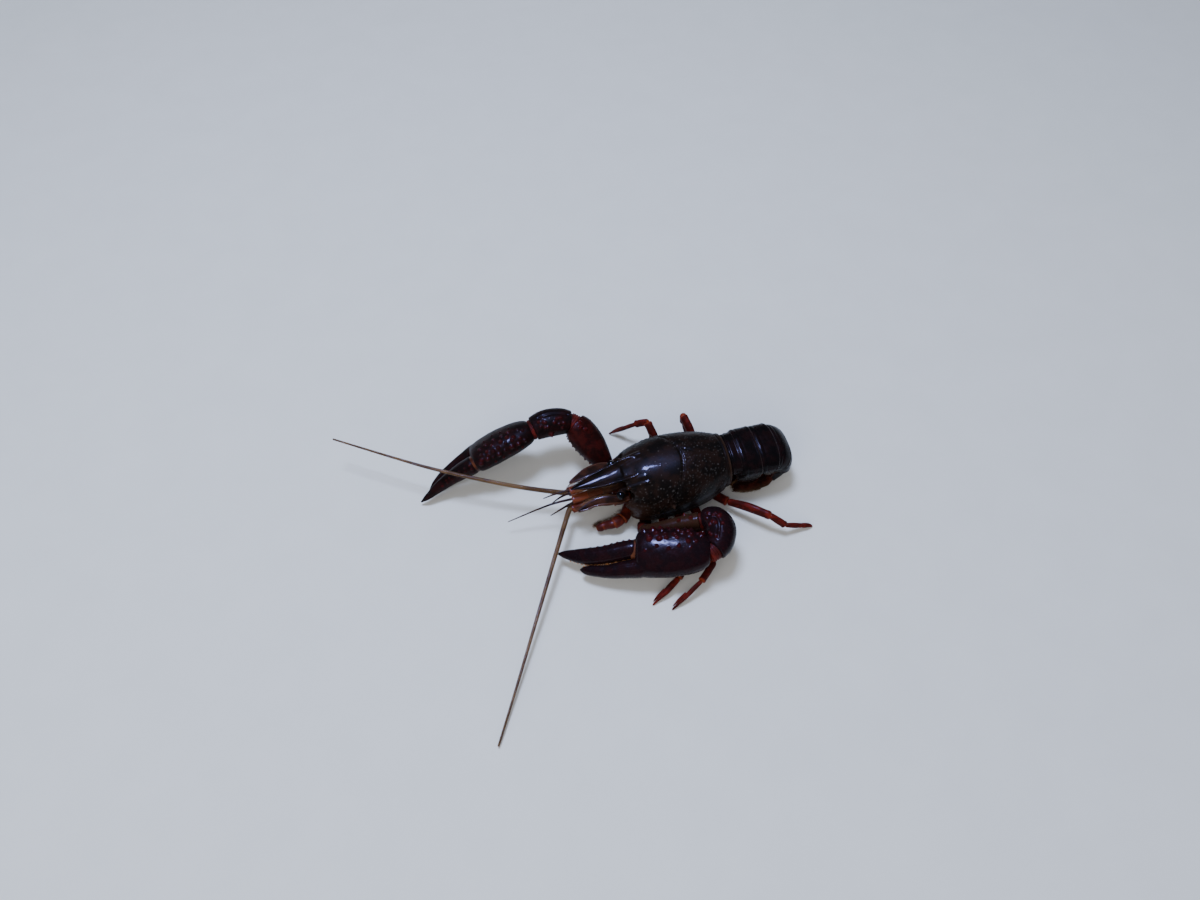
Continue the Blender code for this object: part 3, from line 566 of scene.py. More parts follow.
def trunk_shape():
    angles = np.linspace(RIM_ANGLE, math.pi - RIM_ANGLE, 121)
    rings = []
    for row in smooth_rows(CARAPACE, 10):
        ring = carapace_ring(row, angles)
        bottom = np.linspace(ring[-1], ring[0], 14)[1:-1]
        bottom[:, 2] += 1.3 * np.sin(np.linspace(0, math.pi, 14)[1:-1]) ** 0.5
        rings.append(np.vstack([ring, bottom]))
    front = rings[-1]
    centre = np.array([0, 0, 12.6])
    for scale, back in ((0.93, 0.0), (0.88, 0.8), (0.86, 2.2)):
        ring = centre + (front - centre) * scale
        ring[:, 0] = front[:, 0] + back
        rings.append(ring)
    rear = rings[0]
    inner = centre + (rear - centre) * 0.93
    inner[:, 0] = rear[:, 0]
    deep = centre + (rear - centre) * 0.9
    deep[:, 0] = rear[:, 0] - 1.2
    return closed(lean(np.array([deep, inner] + rings)))


def rostrum_centre(t):
    middle = ROSTRUM_ROOT + (ROSTRUM_TIP - ROSTRUM_ROOT) * t
    return middle - (0, 0, ROSTRUM_SAG * math.sin(math.pi * t))


def rostrum_half(t):
    return ROSTRUM_HALF * looked_up(ROSTRUM_WIDTHS, t)[0]


def rostrum_shape():
    rings = []
    for t in np.linspace(0, 1, 60):
        x, middle, z = rostrum_centre(t)
        half = rostrum_half(t)
        ridge = RIDGE_HEIGHT * (1 - 0.6 * t) * min(1, 0.3 + 4 * t)
        thick = ROSTRUM_THICK * (1 - 0.45 * t)
        top = [(1, -0.1), (0.98, ridge * 0.8), (0.86, ridge), (0.72, ridge * 0.5), (0.5, -0.2),
               (0.25, -0.36)]
        under = [(0.62, -thick * 0.7), (0.18, -thick), (-0.18, -thick), (-0.62, -thick * 0.7)]
        outline = [(-y, rise) for y, rise in top] + [(0, -0.41)] + top[::-1] + under
        rings.append([(x, middle + half * y, z + rise) for y, rise in outline])
    return closed(lean(np.array(rings)))


# ridges and grooves of one side: places as x and degrees, reach, height, then mask and strength
CERVICAL = [(GROOVE_X + 0.7 * math.sin(math.radians(a) * 2), a) for a in range(90, -30, -6)]
GILL_LINE = [(-1.2, 86)] + [(x, 88) for x in range(-3, -12, -2)] + [(-14.0, 80)]
HEPATIC = [(GROOVE_X - 1.5, 10), (GROOVE_X - 5, 22), (GROOVE_X - 9, 22)]
CARAPACE_LINES = (
    (CERVICAL, 0.8, -0.3),
    (GILL_LINE, 0.5, -0.14),
    (HEPATIC, 1, -0.16),
    ([(-1.3, a) for a in range(90, -36, -6)], 0.45, -0.25),
    ([(-0.35, a) for a in range(90, -38, -6)], 0.6, 0.22, "rim", 0.5),
    ([(x, -30) for x in range(-2, -33, -2)], 0.5, -0.3),
    ([(x, -36) for x in range(-1, -34, -2)], 0.5, 0.2, "rim", 0.7),
    ([(-33, 57), (-31, 60), (-28.5, 62), (-26, 63)], 0.9, 0.26),
    ([(-31.5, 74), (-29.5, 73), (-27, 74)], 1, 0.12),
)
# spines of the orbit, neck and cheek: x, degrees, reach, height, then mask and strength
CARAPACE_SPINES = [
    (-32.9, 56, 0.9, 1.1, "rim", 0.4),
    (-13.2, 14, 0.95, 1.3, "rim", 0.4),
    (-15.9, 4, 0.6, 0.6, "rim", 0.3),
    *((-17 - 1.3 * k, 2 - 3 * k, 0.5, 0.35) for k in range(4)),
]
CROWN = (-27, 93)                # place of the swell ahead of the cervical groove
CROWN_HEIGHT = 0.2
CROWN_REACH = 4.0
BACK_ANGLE = 48                  # above it the carapace is smoother


def upright_angle(p):
    """Angle up from the side, and height, of a place on the trunk before it leaned."""
    y = p[1] * math.cos(LEAN) + (p[2] - LEAN_Z) * math.sin(LEAN)
    z = (p[2] - LEAN_Z) * math.cos(LEAN) - p[1] * math.sin(LEAN) + LEAN_Z
    return math.degrees(math.atan2(z - WIDE_Z, abs(y))), z


def granule_gap(p):
    angle, z = upright_angle(p)
    if p[0] < -34 or angle < -34 or z < 6.2:
        return 0
    groove = swept(GROOVE_X, max(0, math.sin(math.radians(min(90, angle)))))
    if p[0] > groove:
        return 0.0 if p[0] > -1.8 else 0.6
    return 1.3 if angle > BACK_ANGLE else 0.7


def granule_chance(p):
    return 0.25 if upright_angle(p)[0] > BACK_ANGLE and p[0] < -18 else 1.0


def make_carapace():
    relief = Relief(cast("carapace_shell", [trunk_shape(), rostrum_shape()], CARAPACE_VOXEL, 5))
    for mirrored in (False, True):
        def at(x, degrees):
            return on_carapace(x, 180 - degrees if mirrored else degrees)
        for places, *look in CARAPACE_LINES:
            relief.line([at(*place) for place in places], *look)
        for x, degrees, *look in CARAPACE_SPINES:
            relief.knob(at(x, degrees), *look)
    for i in relief.scatter(granule_gap, granule_chance):
        p = relief.points[i]
        angle, _ = upright_angle(p)
        size = rng.uniform(0.7, 1.15) * (1.15 if p[0] < -17 and angle < BACK_ANGLE else 1.0)
        # many granules get a painted highlight, a pale spot on their top; the rest get almost none
        pale = rng.random() < (0.7 if angle < 60 else 0.5)
        height = 0.04 if angle > BACK_ANGLE and p[0] < -16.5 else 0.14
        strength = rng.uniform(0.06, 0.34) if pale else 0.02
        relief.knob(p, 0.24 * size, height * size, "painted_glint", strength)
    far = np.linalg.norm(relief.points - on_carapace(*CROWN), axis=1)
    relief.carved += CROWN_HEIGHT * np.exp(-(far / CROWN_REACH) ** 2)
    relief.rough(2.4, 0.035)
    cheek = relief.mask("cheek")
    for i, p in enumerate(relief.points):
        angle, _ = upright_angle(p)
        if p[0] < -24 and angle < 30:
            cheek[i] = 0.7 * min(1, (-24 - p[0]) / 8) * min(1, (30 - angle) / 25)
    finish(relief.apply(), SHELL, "shell", "carapace")


def make_rostrum_fringe():
    """Bristles under the rostrum's edges."""
    roots, directions = [], []
    for sign in (-1, 1):
        for t in np.linspace(0.3, 0.93, 90):
            side = (0, sign * rostrum_half(t) * 0.85, -0.3)
            roots.append(lean(rostrum_centre(t) + side))
            directions.append((-0.9, sign * 0.15, -0.9))
    bristles("rostrum_fringe", roots, directions, 2.0, "shell", seed=11)


make_carapace()
make_rostrum_fringe()


# Abdomen and tail fan

BEND_X = 13.6
BEND_RADIUS = 9.25
ROOT_TOP = 19.6
# length along the back, half width, depth of the body, depth of the side plate
SOMITES = [
    (3.4, 7, 7.4, 6),
    (6.4, 8.3, 7.6, 11.4),
    (6.4, 8.3, 7.4, 8.8),
    (6.8, 8, 7.2, 7.9),
    (7.4, 7.6, 6.8, 7.6),
    (8.6, 6.9, 5.8, 6.4),
]
TELSON_LENGTH = 14.0
TELSON_HALF = 5.0
TELSON_THICK = 1.2
FRINGE_START = 0.35              # share of a blade's length where its bristles begin


def back_line(along, depth, across):
    """Places at a distance along the back, below it and to its right."""
    depth, across = np.broadcast_arrays(np.asarray(depth, float), np.asarray(across, float))
    slope = (ROOT_TOP - 2 * BEND_RADIUS) / BEND_X
    angle = (along - BEND_X) / BEND_RADIUS
    if angle <= 0:
        x, z, share = along + 0 * depth, ROOT_TOP - slope * along - depth, 1
    elif angle < math.pi:
        x = BEND_X + (BEND_RADIUS - depth) * math.sin(angle)
        z = BEND_RADIUS + (BEND_RADIUS - depth) * math.cos(angle)
        share = 1 - angle / math.pi
    else:
        x, z, share = BEND_X - (along - BEND_X - math.pi * BEND_RADIUS) + 0 * depth, depth, 0
    upright = np.stack([x, across, z], -1)
    level = upright + [0, LEAN_Z / 2 * math.sin(LEAN), 0]
    return level + (lean(upright) - level) * share


def plate_depth(t, plate):
    """The lower edge of a somite's side plate, a rounded lobe."""
    if t < 0.55:
        return plate - 2.6 * ((0.55 - t) / 0.55) ** 1.6
    return plate - 2.3 * ((t - 0.55) / 0.45) ** 2.2


def back_swell(t):
    """How far a somite's back stands out along its length: tucked in front, rimmed behind."""
    step = -0.42 * max(0, 1 - t / 0.14) - 0.07 * math.exp(-((t - 0.3) / 0.05) ** 2)
    return step + 0.1 * t + 0.1 * math.exp(-((t - 0.95) / 0.045) ** 2)


def make_somite(number, start, length, half, depth, plate):
    arc = np.linspace(0, np.pi, 97)
    fall = np.linspace(0.1, 1, 12)
    grid, rim, under = [], [], []
    reach = 0.9 if number > 1 else 0.3
    for t in np.linspace(-reach / length, 1.03, int(44 / FINE)):
        swell = back_swell(t)
        y = -half * np.sign(np.cos(arc)) * np.abs(np.cos(arc)) ** 0.8
        wall = half * 0.62
        d = wall * (1 - np.sin(arc) ** 0.9)
        y, d = y * (1 + swell / half), d - swell
        side = max(plate_depth(max(0, min(1, t)), plate), wall + 0.5)
        wall_y = half * (1 - 0.06 * fall ** 1.5 - 0.04 * np.maximum(0, fall - 0.85) / 0.15)
        wall_d = wall + (side - wall) * fall
        inner = min(side, depth) - 0.5
        floor_y = np.array([0.83, 0.74, 0.66, 0.33, 0, -0.33, -0.66, -0.74, -0.83]) * half
        floor_d = [side - 0.15, side - 0.6, inner, inner + 0.3]
        floor_d += [inner + 0.5] + floor_d[::-1]
        outline_y = np.concatenate([-wall_y[::-1], y, wall_y, floor_y])
        outline_d = np.concatenate([wall_d[::-1], d, wall_d, floor_d])
        grid.append(back_line(start + length * t, outline_d, outline_y))
        lobe = np.clip((fall - 0.82) / 0.12, 0, 1)
        edge = np.concatenate([lobe[::-1], 0 * y, lobe, 0 * floor_y])
        back = 0.3 * math.exp(-((t - 1.0) / 0.02) ** 2)
        rim.append(np.maximum(0.75 * edge, back))
        under.append(np.concatenate([0 * fall, 0 * y, 0 * fall, 1 + 0 * floor_y]))
    relief = Relief(from_grid(f"abdomen_{number}_plate", [np.array(grid)],
                              {"rim": [np.array(rim)], "under": [np.array(under)]}))
    relief.rough(1.8, 0.035)
    finish(relief.apply(), TAIL, "tail_shell", f"abdomen_{number}")


def make_abdomen():
    along = 0
    for number, (length, half, depth, plate) in enumerate(SOMITES, 1):
        make_somite(number, along, length, half, depth, plate)
        along += length
    return along


def blade(name, node, root, end, half, lift, thick, ridges):
    """A tail fan blade with lengthwise ridges and a fringe of bristles round its free end."""
    widths = smooth_rows([(0.62,), (0.92,), (1.0,), (0.97,), (0.8,), (0.4,)], 8)[:, 0]
    root, end = np.array(root, float), np.array(end, float)
    across = np.linspace(-1, 1, 41)
    grid, rim, roots, directions = [], [], [], []
    for k, width in enumerate(widths):
        t = k / (len(widths) - 1)
        along, middle = root + (end - root) * t
        body = thick * (1 - 0.35 * t)
        edge = 1 - np.abs(across) ** 4
        raise_ = sum(0.22 * np.exp(-((across - r) / 0.07) ** 2) for r in ridges) * edge
        top = body * (0.5 + 0.5 * edge) + raise_
        bottom = body * (0.3 - 0.3 * edge)
        if name == "telson_plate":
            top += 0.12 * math.exp(-((t - 0.62) / 0.03) ** 2) * edge
        y = np.concatenate([across, across[::-1]])
        d = np.concatenate([top, bottom])
        grid.append(back_line(along, lift + d, middle + half * width * y))
        rim.append(np.concatenate([1 - edge, 1 - edge[::-1]]) * 0.8)
        if t <= FRINGE_START:
            continue
        level = lift + body / 2
        ahead = normalised(back_line(along + 0.5, level, middle) - back_line(along, level, middle))
        for s in (-1, 1):
            for _ in range(9):
                shift = rng.uniform(0, (end - root)[0] / (len(widths) - 1))
                roots.append(back_line(along + shift, level, middle + s * half * width * 0.97))
                directions.append(ahead + np.array([0, s * (1.3 - t), 0]))
    for _ in range(70):
        y = rng.uniform(-1, 1)
        roots.append(back_line(end[0] - 0.1, lift + thick * 0.3, end[1] + half * widths[-1] * y))
        directions.append((-1, 0.35 * y, 0))
    relief = Relief(from_grid(name, [np.array(grid)], {"rim": [np.array(rim)]}))
    relief.rough(1.5, 0.03)
    finish(relief.apply(), FAN, "tail_fan", node)
    bristles(name + "_fringe", roots, directions, 1.3, "tail_fan")


def make_fan(start):
    blade("telson_plate", "telson", (start - 0.3, 0), (start + TELSON_LENGTH, 0), TELSON_HALF, 0,
          TELSON_THICK, (-0.45, 0.45))
    for side, sign in SIDES:
        blade(f"uropod_inner_{side}_blade", f"uropod_inner_{side}", (start + 1.2, sign * 4.2),
              (start + 13.6, sign * 4.7), 2.7, TELSON_THICK + 0.35, 0.9, (0.0,))
        blade(f"uropod_outer_{side}_blade", f"uropod_outer_{side}", (start + 0.5, sign * 5.0),
              (start + 14.4, sign * 5.6), 2.9, TELSON_THICK + 1.6, 0.9, (-0.1, 0.5))
        hip = [(*back_line(start + along, TELSON_THICK + 1.9, sign * 5.0), wide, deep)
               for along, wide, deep in ((-2.2, 1.4, 1.2), (0.2, 1.6, 1.3), (2.4, 1.5, 0.9))]
        add_piece(f"uropod_{side}_root", [tube(hip, rings=24, sides=24, caps=(0.4, 0.6))], FAN,
                  "tail_fan")


make_fan(make_abdomen())


# Head

WHIPS = {
    "left": [(-50.6, -0.6, 8.2, 0.85, 0.85), (-58, -13.4, 7.2, 0.7, 0.7),
             (-69, -32.6, 4.6, 0.55, 0.55), (-79, -50, 2.2, 0.42, 0.42),
             (-87.6, -64.8, 0.9, 0.3, 0.3)],
    "right": [(-52.3, 5, 9.6, 0.85, 0.85), (-67, 10.8, 11.2, 0.7, 0.7),
              (-86.8, 21, 12.8, 0.55, 0.55), (-99.2, 29, 13.2, 0.42, 0.42),
              (-117.8, 42.2, 13.2, 0.3, 0.3)],
}
FEELERS = {
    "left": [[(-48.9, 0.4, 11.5), (-57, 0.9, 10.3), (-70, 1.7, 5)],
             [(-48.9, -0.3, 10.9), (-53, -0.7, 9.2), (-57, -1.2, 7.4)]],
    "right": [[(-49, 3.3, 12), (-53, 3.7, 11.5), (-58, 3.9, 10)],
              [(-49, 2.8, 11.6), (-52.3, 2.9, 10.3), (-55.4, 2.5, 8.6)]],
}
JAW_LEGS = {
    "left": [(-31.2, -0.4, 4.5, 1.4, 1.2), (-34, -5, 3.7, 1.9, 1.4),
             (-37.8, -6.9, 3.9, 1.9, 1.5), (-40.4, -6.6, 3.1, 1.4, 1.3),
             (-42.2, -6.4, 2.4, 1.5, 1.3), (-43.6, -6.3, 1.8, 0.9, 0.8)],
    "right": [(-33, 4.4, 5.4, 1.9, 1.5), (-37, 4.8, 5.2, 1.9, 1.5),
              (-40.6, 4.2, 4.6, 1.5, 1.3), (-42.8, 3.6, 3.2, 1.4, 1.3),
              (-42.6, 3.2, 1.9, 0.9, 0.8)],
}
RING_PITCH = 0.62
SEGMENT_OVERLAP = 0.25
SCALES = {
    "left": [(-32.3, -5.4, 12.9, 0.7, 0.5), (-36, -5.3, 13.1, 1.2, 0.45),
             (-39, -4.9, 13.5, 1.4, 0.4), (-42.5, -4.5, 13.2, 1.2, 0.36),
             (-46, -4.9, 12.4, 0.9, 0.33), (-48.8, -5.6, 11.9, 0.3, 0.25)],
    "right": [(-32.3, 6, 13.1, 0.8, 0.5), (-36, 6.5, 13.2, 1.4, 0.45),
              (-39, 6.5, 13.4, 1.9, 0.4), (-43, 5.9, 13.4, 1.95, 0.36),
              (-46, 5, 13, 1.4, 0.33), (-49.2, 4, 12.4, 0.3, 0.25)],
}
SCALE_TILT = {"left": 0.6, "right": 0.25}    # how far each blade is turned outward


def lean_rows(rows):
    return [(*lean(row[:3]), *row[3:]) for row in rows]


def ringed(at, total):
    """Fine rings along a whip."""
    return 1 + 0.10 * np.cos(2 * np.pi * at / RING_PITCH)


def whip(rows, sides=10):
    """A ringed whip, and the mask of its rings."""
    length = sum(math.dist(a[:3], b[:3]) for a, b in zip(rows, rows[1:]))
    grid = tube(rows, rings=int(length * 7 * FINE), sides=int(sides * FINE), caps=(0, 0.4),
                wave=ringed)
    at = run_along(grid.mean(1))
    return grid, (0.5 - 0.5 * np.cos(2 * np.pi * at / RING_PITCH))[:, None] ** 2 * 0.8


def segments(rows, cuts, **options):
    """A line of stations as separate rounded segments between shares of its length."""
    line = smooth_rows(rows, 16)
    run = run_along(line[:, :3])
    grids = []
    for a, b in zip(cuts, cuts[1:]):
        at = np.linspace(a * run[-1] - SEGMENT_OVERLAP, b * run[-1] + SEGMENT_OVERLAP, 9)
        stations = np.stack([np.interp(at, run, line[:, k]) for k in range(5)], 1)
        grids.append(tube(stations, wave=flared, **options))
    return grids


def flared(at, total):
    """A segment that is slim where it begins and rimmed where it ends."""
    t = at / total
    swell = 0.16 * np.sin(np.pi * np.clip(t, 0, 0.75) / 1.5)
    return 0.84 + swell + 0.1 * np.exp(-((t - 0.93) / 0.05) ** 2)


def make_eye(side, sign):
    eye = lean((EYE[0], sign * EYE[1], EYE[2]))
    root = lean((FACE_X + 1.4, sign * 3.0, 15.4))
    turn = lean((FACE_X - 0.9, sign * 3.9, 15.7))
    cup = eye + normalised(turn - eye) * 0.35
    stalk = tube([(*root, 1.0, 0.9), (*turn, 1.0, 0.95), (*(turn * 0.4 + cup * 0.6), 1.25, 1.2),
                  (*cup, 1.24, 1.24)], caps=(0.2, 0.3), rings=50, sides=36)
    add_piece(f"eyestalk_{side}_skin", [stalk], STALK, "eyestalk", f"eyestalk_{side}")
    poles = [(*(eye + (0, 0, rise)), EYE_RADIUS, EYE_RADIUS) for rise in (-EYE_RADIUS, EYE_RADIUS)]
    ball = tube(poles, (1, 0, 0), rings=40, sides=40, caps=(EYE_RADIUS, EYE_RADIUS))
    add_piece(f"eye_{side}_cornea", [ball], EYE_BLACK, "eye", f"eye_{side}")


def make_antenna(side, sign):
    base = lean_rows([(FACE_X + 2.0, sign * 4.4, 11.0, 2.2, 1.8), (-38, sign * 3.9, 11.1, 2.1, 1.6),
                      (-41.5, sign * 3.4, 11.0, 1.7, 1.4), (-46, sign * 3.05, 10.0, 1.65, 1.5),
                      (-50.0, sign * 2.85, 8.7, 1.45, 1.3)])
    grids = segments(base, (0, 0.3, 0.55, 0.78, 1.0), rings=36, sides=32, caps=(0.7, 0.35))
    dark = [0.7 * (1 - from_ends(g, 0.9)) * (k < 2) for k, g in enumerate(grids)]
    add_piece(f"antenna_base_{side}_skin", grids, PEDUNCLE, "antenna_base", f"antenna_base_{side}",
              dark=dark)
    rows = WHIPS[side]
    start = lean((-49.6, sign * 3.0, 8.7)) * 0.9 + np.array(rows[0][:3]) * 0.1
    grid, ring = whip([(*start, 0.95, 0.95)] + rows)
    add_piece(f"antenna_{side}_whip", [grid], WHIP, "feeler", f"antenna_{side}", ring=[ring])


def make_antenna_scale(side, sign):
    name = f"antenna_scale_{side}"
    rows = lean_rows(SCALES[side])
    tilt = SCALE_TILT[side]
    level = math.sqrt(1 - tilt ** 2)
    roll = np.array([0, sign * tilt, level])
    outer = np.array([0, sign * level, -tilt])
    grid = tube(rows, roll, rings=60, sides=40, caps=(0.5, 0.5))
    crest = [(*(np.array(r[:3]) + outer * r[3] * 0.86 + roll * 0.1), 0.3, 0.34) for r in rows]
    ridge = tube(crest, roll, rings=50, sides=12, caps=(0.4, 1.4))
    c, _ = oval(grid.shape[1])
    rim = [np.clip(np.abs(c) - 0.8, 0, 1)[None, :] * 3, 0.6]
    add_piece(f"{name}_blade", [grid, ridge], SCALE, "antenna_scale", name, rim=rim)
    roots = [r[:3] - outer * r[3] * 0.93 for r in smooth_rows(rows[1:], 40)]
    bristles(f"{name}_fringe", roots, [(-1.0, -sign * 0.8, -0.1)] * len(roots), 1.9,
             "antenna_scale")


def make_antennule(side, sign):
    across = sign * 1.5 + 0.3
    stem = lean_rows([(FACE_X + 1.5, across, 13.7, 1.2, 0.9), (-38, across, 13.7, 1.45, 0.9),
                      (-42, across, 13.4, 1.55, 0.9), (-47, across, 12.2, 1.55, 1.0),
                      (-49.6, across, 11.5, 1.25, 0.95)])
    grids = segments(stem, (0, 0.45, 0.7, 1.0), rings=30, sides=24, caps=(0.5, 0.3))
    rings = [0.0] * 3
    tips = [0.0, 0.3, 0.75, 0.0, 0.0]
    for line in FEELERS[side]:
        grid, ring = whip([(*p, r, r) for p, r in zip(line, (0.42, 0.33, 0.14))], 8)
        grids.append(grid)
        rings.append(ring)
    add_piece(f"antennule_{side}_skin", grids, SMALL_WHIP, "feeler", f"antennule_{side}",
              ring=rings, tip=tips)


def make_jaw_leg(side, sign):
    name = f"maxilliped_{side}"
    rows = [(*lean((-29.0, sign * 2.2, 5.4)), 1.4, 1.2)] + JAW_LEGS[side]
    grids = segments(rows, (0, 0.18, 0.52, 0.68, 0.86, 1.0), rings=30, sides=26, caps=(0.5, 0.4))
    add_piece(f"{name}_skin", grids, JAW, "mouthpart", name,
              joint=[0.7 * from_ends(g, 0.4) for g in grids])
    roots = []
    for r in smooth_rows(rows[2:], 14):
        for _ in range(5):
            roots.append(r[:3] + np.array([rng.uniform(-0.3, 0.3), -sign * r[3] * 0.85,
                                           rng.uniform(-0.5, 0.3)]))
    bristles(f"{name}_fringe", roots, [(-0.7, -sign * 0.9, -0.25)] * len(roots), 1.8, "mouthpart")


for side, sign in SIDES:
    make_eye(side, sign)
    make_antenna(side, sign)
    make_antenna_scale(side, sign)
    make_antennule(side, sign)
    make_jaw_leg(side, sign)


# Walking legs: x of the root, side, then the end of the ischium, knee, wrist and foot

LEGS = {
    "leg_2_left": (-22.3, -1, (-22.8, -12.5, 1.95), (-20.5, -27, 4.8), (-25, -31, 4.4),
                   (-34.4, -35.5, 0)),
    "leg_3_left": (-17.4, -1, (-17.2, -12.5, 1.95), (-13.8, -29.8, 5.6), (-19, -34.2, 5.2),
                   (-29.3, -38.5, 0)),
    "leg_4_left": (-12.5, -1, (-11.4, -12, 2), (-7.6, -21.6, 5), (-8.6, -26.4, 4.4),
                   (-16, -25, 0)),
    "leg_5_left": (-7.6, -1, (-1.4, -9.4, 4.4), (8.8, -19.5, 7), (12.8, -22.4, 4.4),
                   (22.5, -22.8, 0)),
    "leg_2_right": (-22.3, 1, (-23.2, 12.4, 4.6), (-25.6, 15.2, 6.4), (-28.7, 16.4, 4.4),
                    (-36.5, 15.5, 0)),
    "leg_3_right": (-17.4, 1, (-16.4, 14.2, 5.4), (-18.8, 21.4, 13.4), (-21.8, 23.9, 10.2),
                    (-29.2, 29.7, 0)),
    "leg_4_right": (-12.5, 1, (-12.4, 13.4, 4.8), (-13.2, 16.8, 8.4), (-14.8, 18.2, 5.8),
                    (-19, 21, 0)),
    "leg_5_right": (-7.6, 1, (-4.6, 13.4, 6.8), (-6.6, 21.2, 12.8), (-6, 21.6, 9),
                    (-4.2, 19.4, 0)),
}
STERNUM_HALF = 5.0
LEG_ROOT_Z = 4.0
LEG_ARCH = 0.7                   # how far a leg's upper piece arches above a straight line
SLIM_FOOT = 0.75                 # size of the third and fourth legs' ends beside the others
FOOT_HALF = 0.28
BROAD_FOOT = 0.14                # added to each side of the fifth legs' ends


def part_limb(a, b, sizes, **options):
    """A segment between two places with widths and heights spread along it."""
    a, b = np.asarray(a, float), np.asarray(b, float)
    rows = [(*(a + (b - a) * k / (len(sizes) - 1)), *size) for k, size in enumerate(sizes)]
    return tube(rows, **options)


def make_leg(name, x, side, ischium, knee, wrist, foot):
    root = lean((x, side * (STERNUM_HALF - 0.8), LEG_ROOT_Z))
    ischium, knee, wrist, foot = (np.array(p, float) for p in (ischium, knee, wrist, foot))
    foot = foot + (0, 0, FOOT_HALF)
    options = {"rings": 40, "sides": 28, "caps": (0.8, 0.35), "wave": flared}
    end = {"rings": 40, "sides": 22, "caps": (0.5, 0.5)}
    hip = root + (ischium - root) * 0.3
    middle = (ischium + knee) / 2 + (0, 0, LEG_ARCH)
    upper = [part_limb(root, hip, [(1.75, 1.7), (1.8, 1.7), (1.6, 1.5)], **options),
             part_limb(hip, ischium, [(1.5, 1.4), (1.5, 1.4), (1.4, 1.45)], **options),
             tube([(*ischium, 1.2, 1.35), (*middle, 1.35, 1.75), (*knee, 1.2, 1.35)], **options)]
    lower = [part_limb(knee - (wrist - knee) * 0.13, wrist,
                       [(1.1, 1.25), (1.12, 1.28), (1.05, 1.2)], **options)]
    number = name[4]
    slim = SLIM_FOOT if number in "34" else 1
    along = normalised(foot - wrist)
    if number in "23":
        across = normalised(np.cross(along, (0, 0, 1)))
        split = wrist + (foot - wrist) * 0.52
        bow = split + (foot - split) * 0.5 - across * 0.1
        lower.append(tube([(*wrist, 0.85 * slim, 0.95 * slim),
                           (*(wrist + (split - wrist) * 0.6), slim, slim),
                           (*(split - across * 0.15), 0.85 * slim, 0.85 * slim),
                           (*bow, 0.45, 0.5), (*foot, 0.26, FOOT_HALF)], **end))
        reach = (foot - wrist) * 0.41
        thumb = split + across * 0.62
        lower.append(tube([(*(thumb - reach * 0.15), 0.5, 0.55),
                           (*(thumb + reach * 0.5 + across * 0.12), 0.42, 0.45),
                           (*(thumb + reach), 0.12, 0.12)], **end))
    else:
        split = wrist + (foot - wrist) * 0.6
        sizes = [(0.8 * slim, 0.9 * slim), (0.85 * slim, 0.92 * slim), (0.7 * slim, 0.75 * slim)]
        lower.append(part_limb(wrist, split, sizes, **options))
        bow = split + (foot - split) * 0.5 + (0, 0, 0.35)
        broad = BROAD_FOOT if number == "5" else 0
        lower.append(tube([(*split, 0.72 * slim + broad, 0.78 * slim),
                           (*bow, 0.62 * slim + broad, 0.68 * slim),
                           (*foot, FOOT_HALF + broad, FOOT_HALF)], **end))
    for part, grids in (("upper", upper), ("lower", lower)):
        joint = [0.45 * from_ends(g, 0.3) for g in grids]
        if part == "lower":
            joint[1:] = [0.3 * from_ends(grids[1], 0.3), 0.0]
        add_piece(f"{name}_{part}_skin", grids, LEG, "leg", f"{name}_{part}", joint=joint,
                  dark=[0.35 * (1 - from_ends(g, 1.2)) for g in grids])
    roots, directions = [], []
    for _ in range(60):
        t = rng.uniform(0.35, 0.97)
        turn = rng.uniform(0, 2 * math.pi)
        out = np.array([math.cos(turn), math.sin(turn), 0.4])
        out -= along * out.dot(along)
        roots.append(wrist + (foot - wrist) * t + out * 0.5 * (1.1 - t))
        directions.append(out * 0.6 + along)
    bristles(f"{name}_bristles", roots, directions, 0.8, "leg", half=0.03)


def make_underside():
    """The plates between the legs."""
    sizes = [(2.3, 1.7), (2.2, 1.5), (1.9, 1.2), (2.2, 1.5), (2.3, 1.7)]
    half = STERNUM_HALF + 0.2
    grids = [part_limb(lean((x, -half, 4.5)), lean((x, half, 4.5)), sizes, rings=40, sides=28,
                       caps=(0.8, 0.8)) for x in (-27.0, -22.3, -17.4, -12.5, -7.6)]
    keel = tube([(*lean((-29.6, 0, 4.6)), 2.6, 1.3), (*lean((-16, 0, 4.6)), 3.4, 1.6),
                 (*lean((-2.6, 0, 5.0)), 2.8, 1.3)], rings=50, sides=30, caps=(1.5, 1.5))
    plates = cast("sternum_plates", [closed(g) for g in grids + [keel]], STERNUM_VOXEL, 3)
    finish(plates, UNDERSIDE, "underside", "sternum")


for leg, places in LEGS.items():
    make_leg(leg, *places)
make_underside()


# Claws and their arms

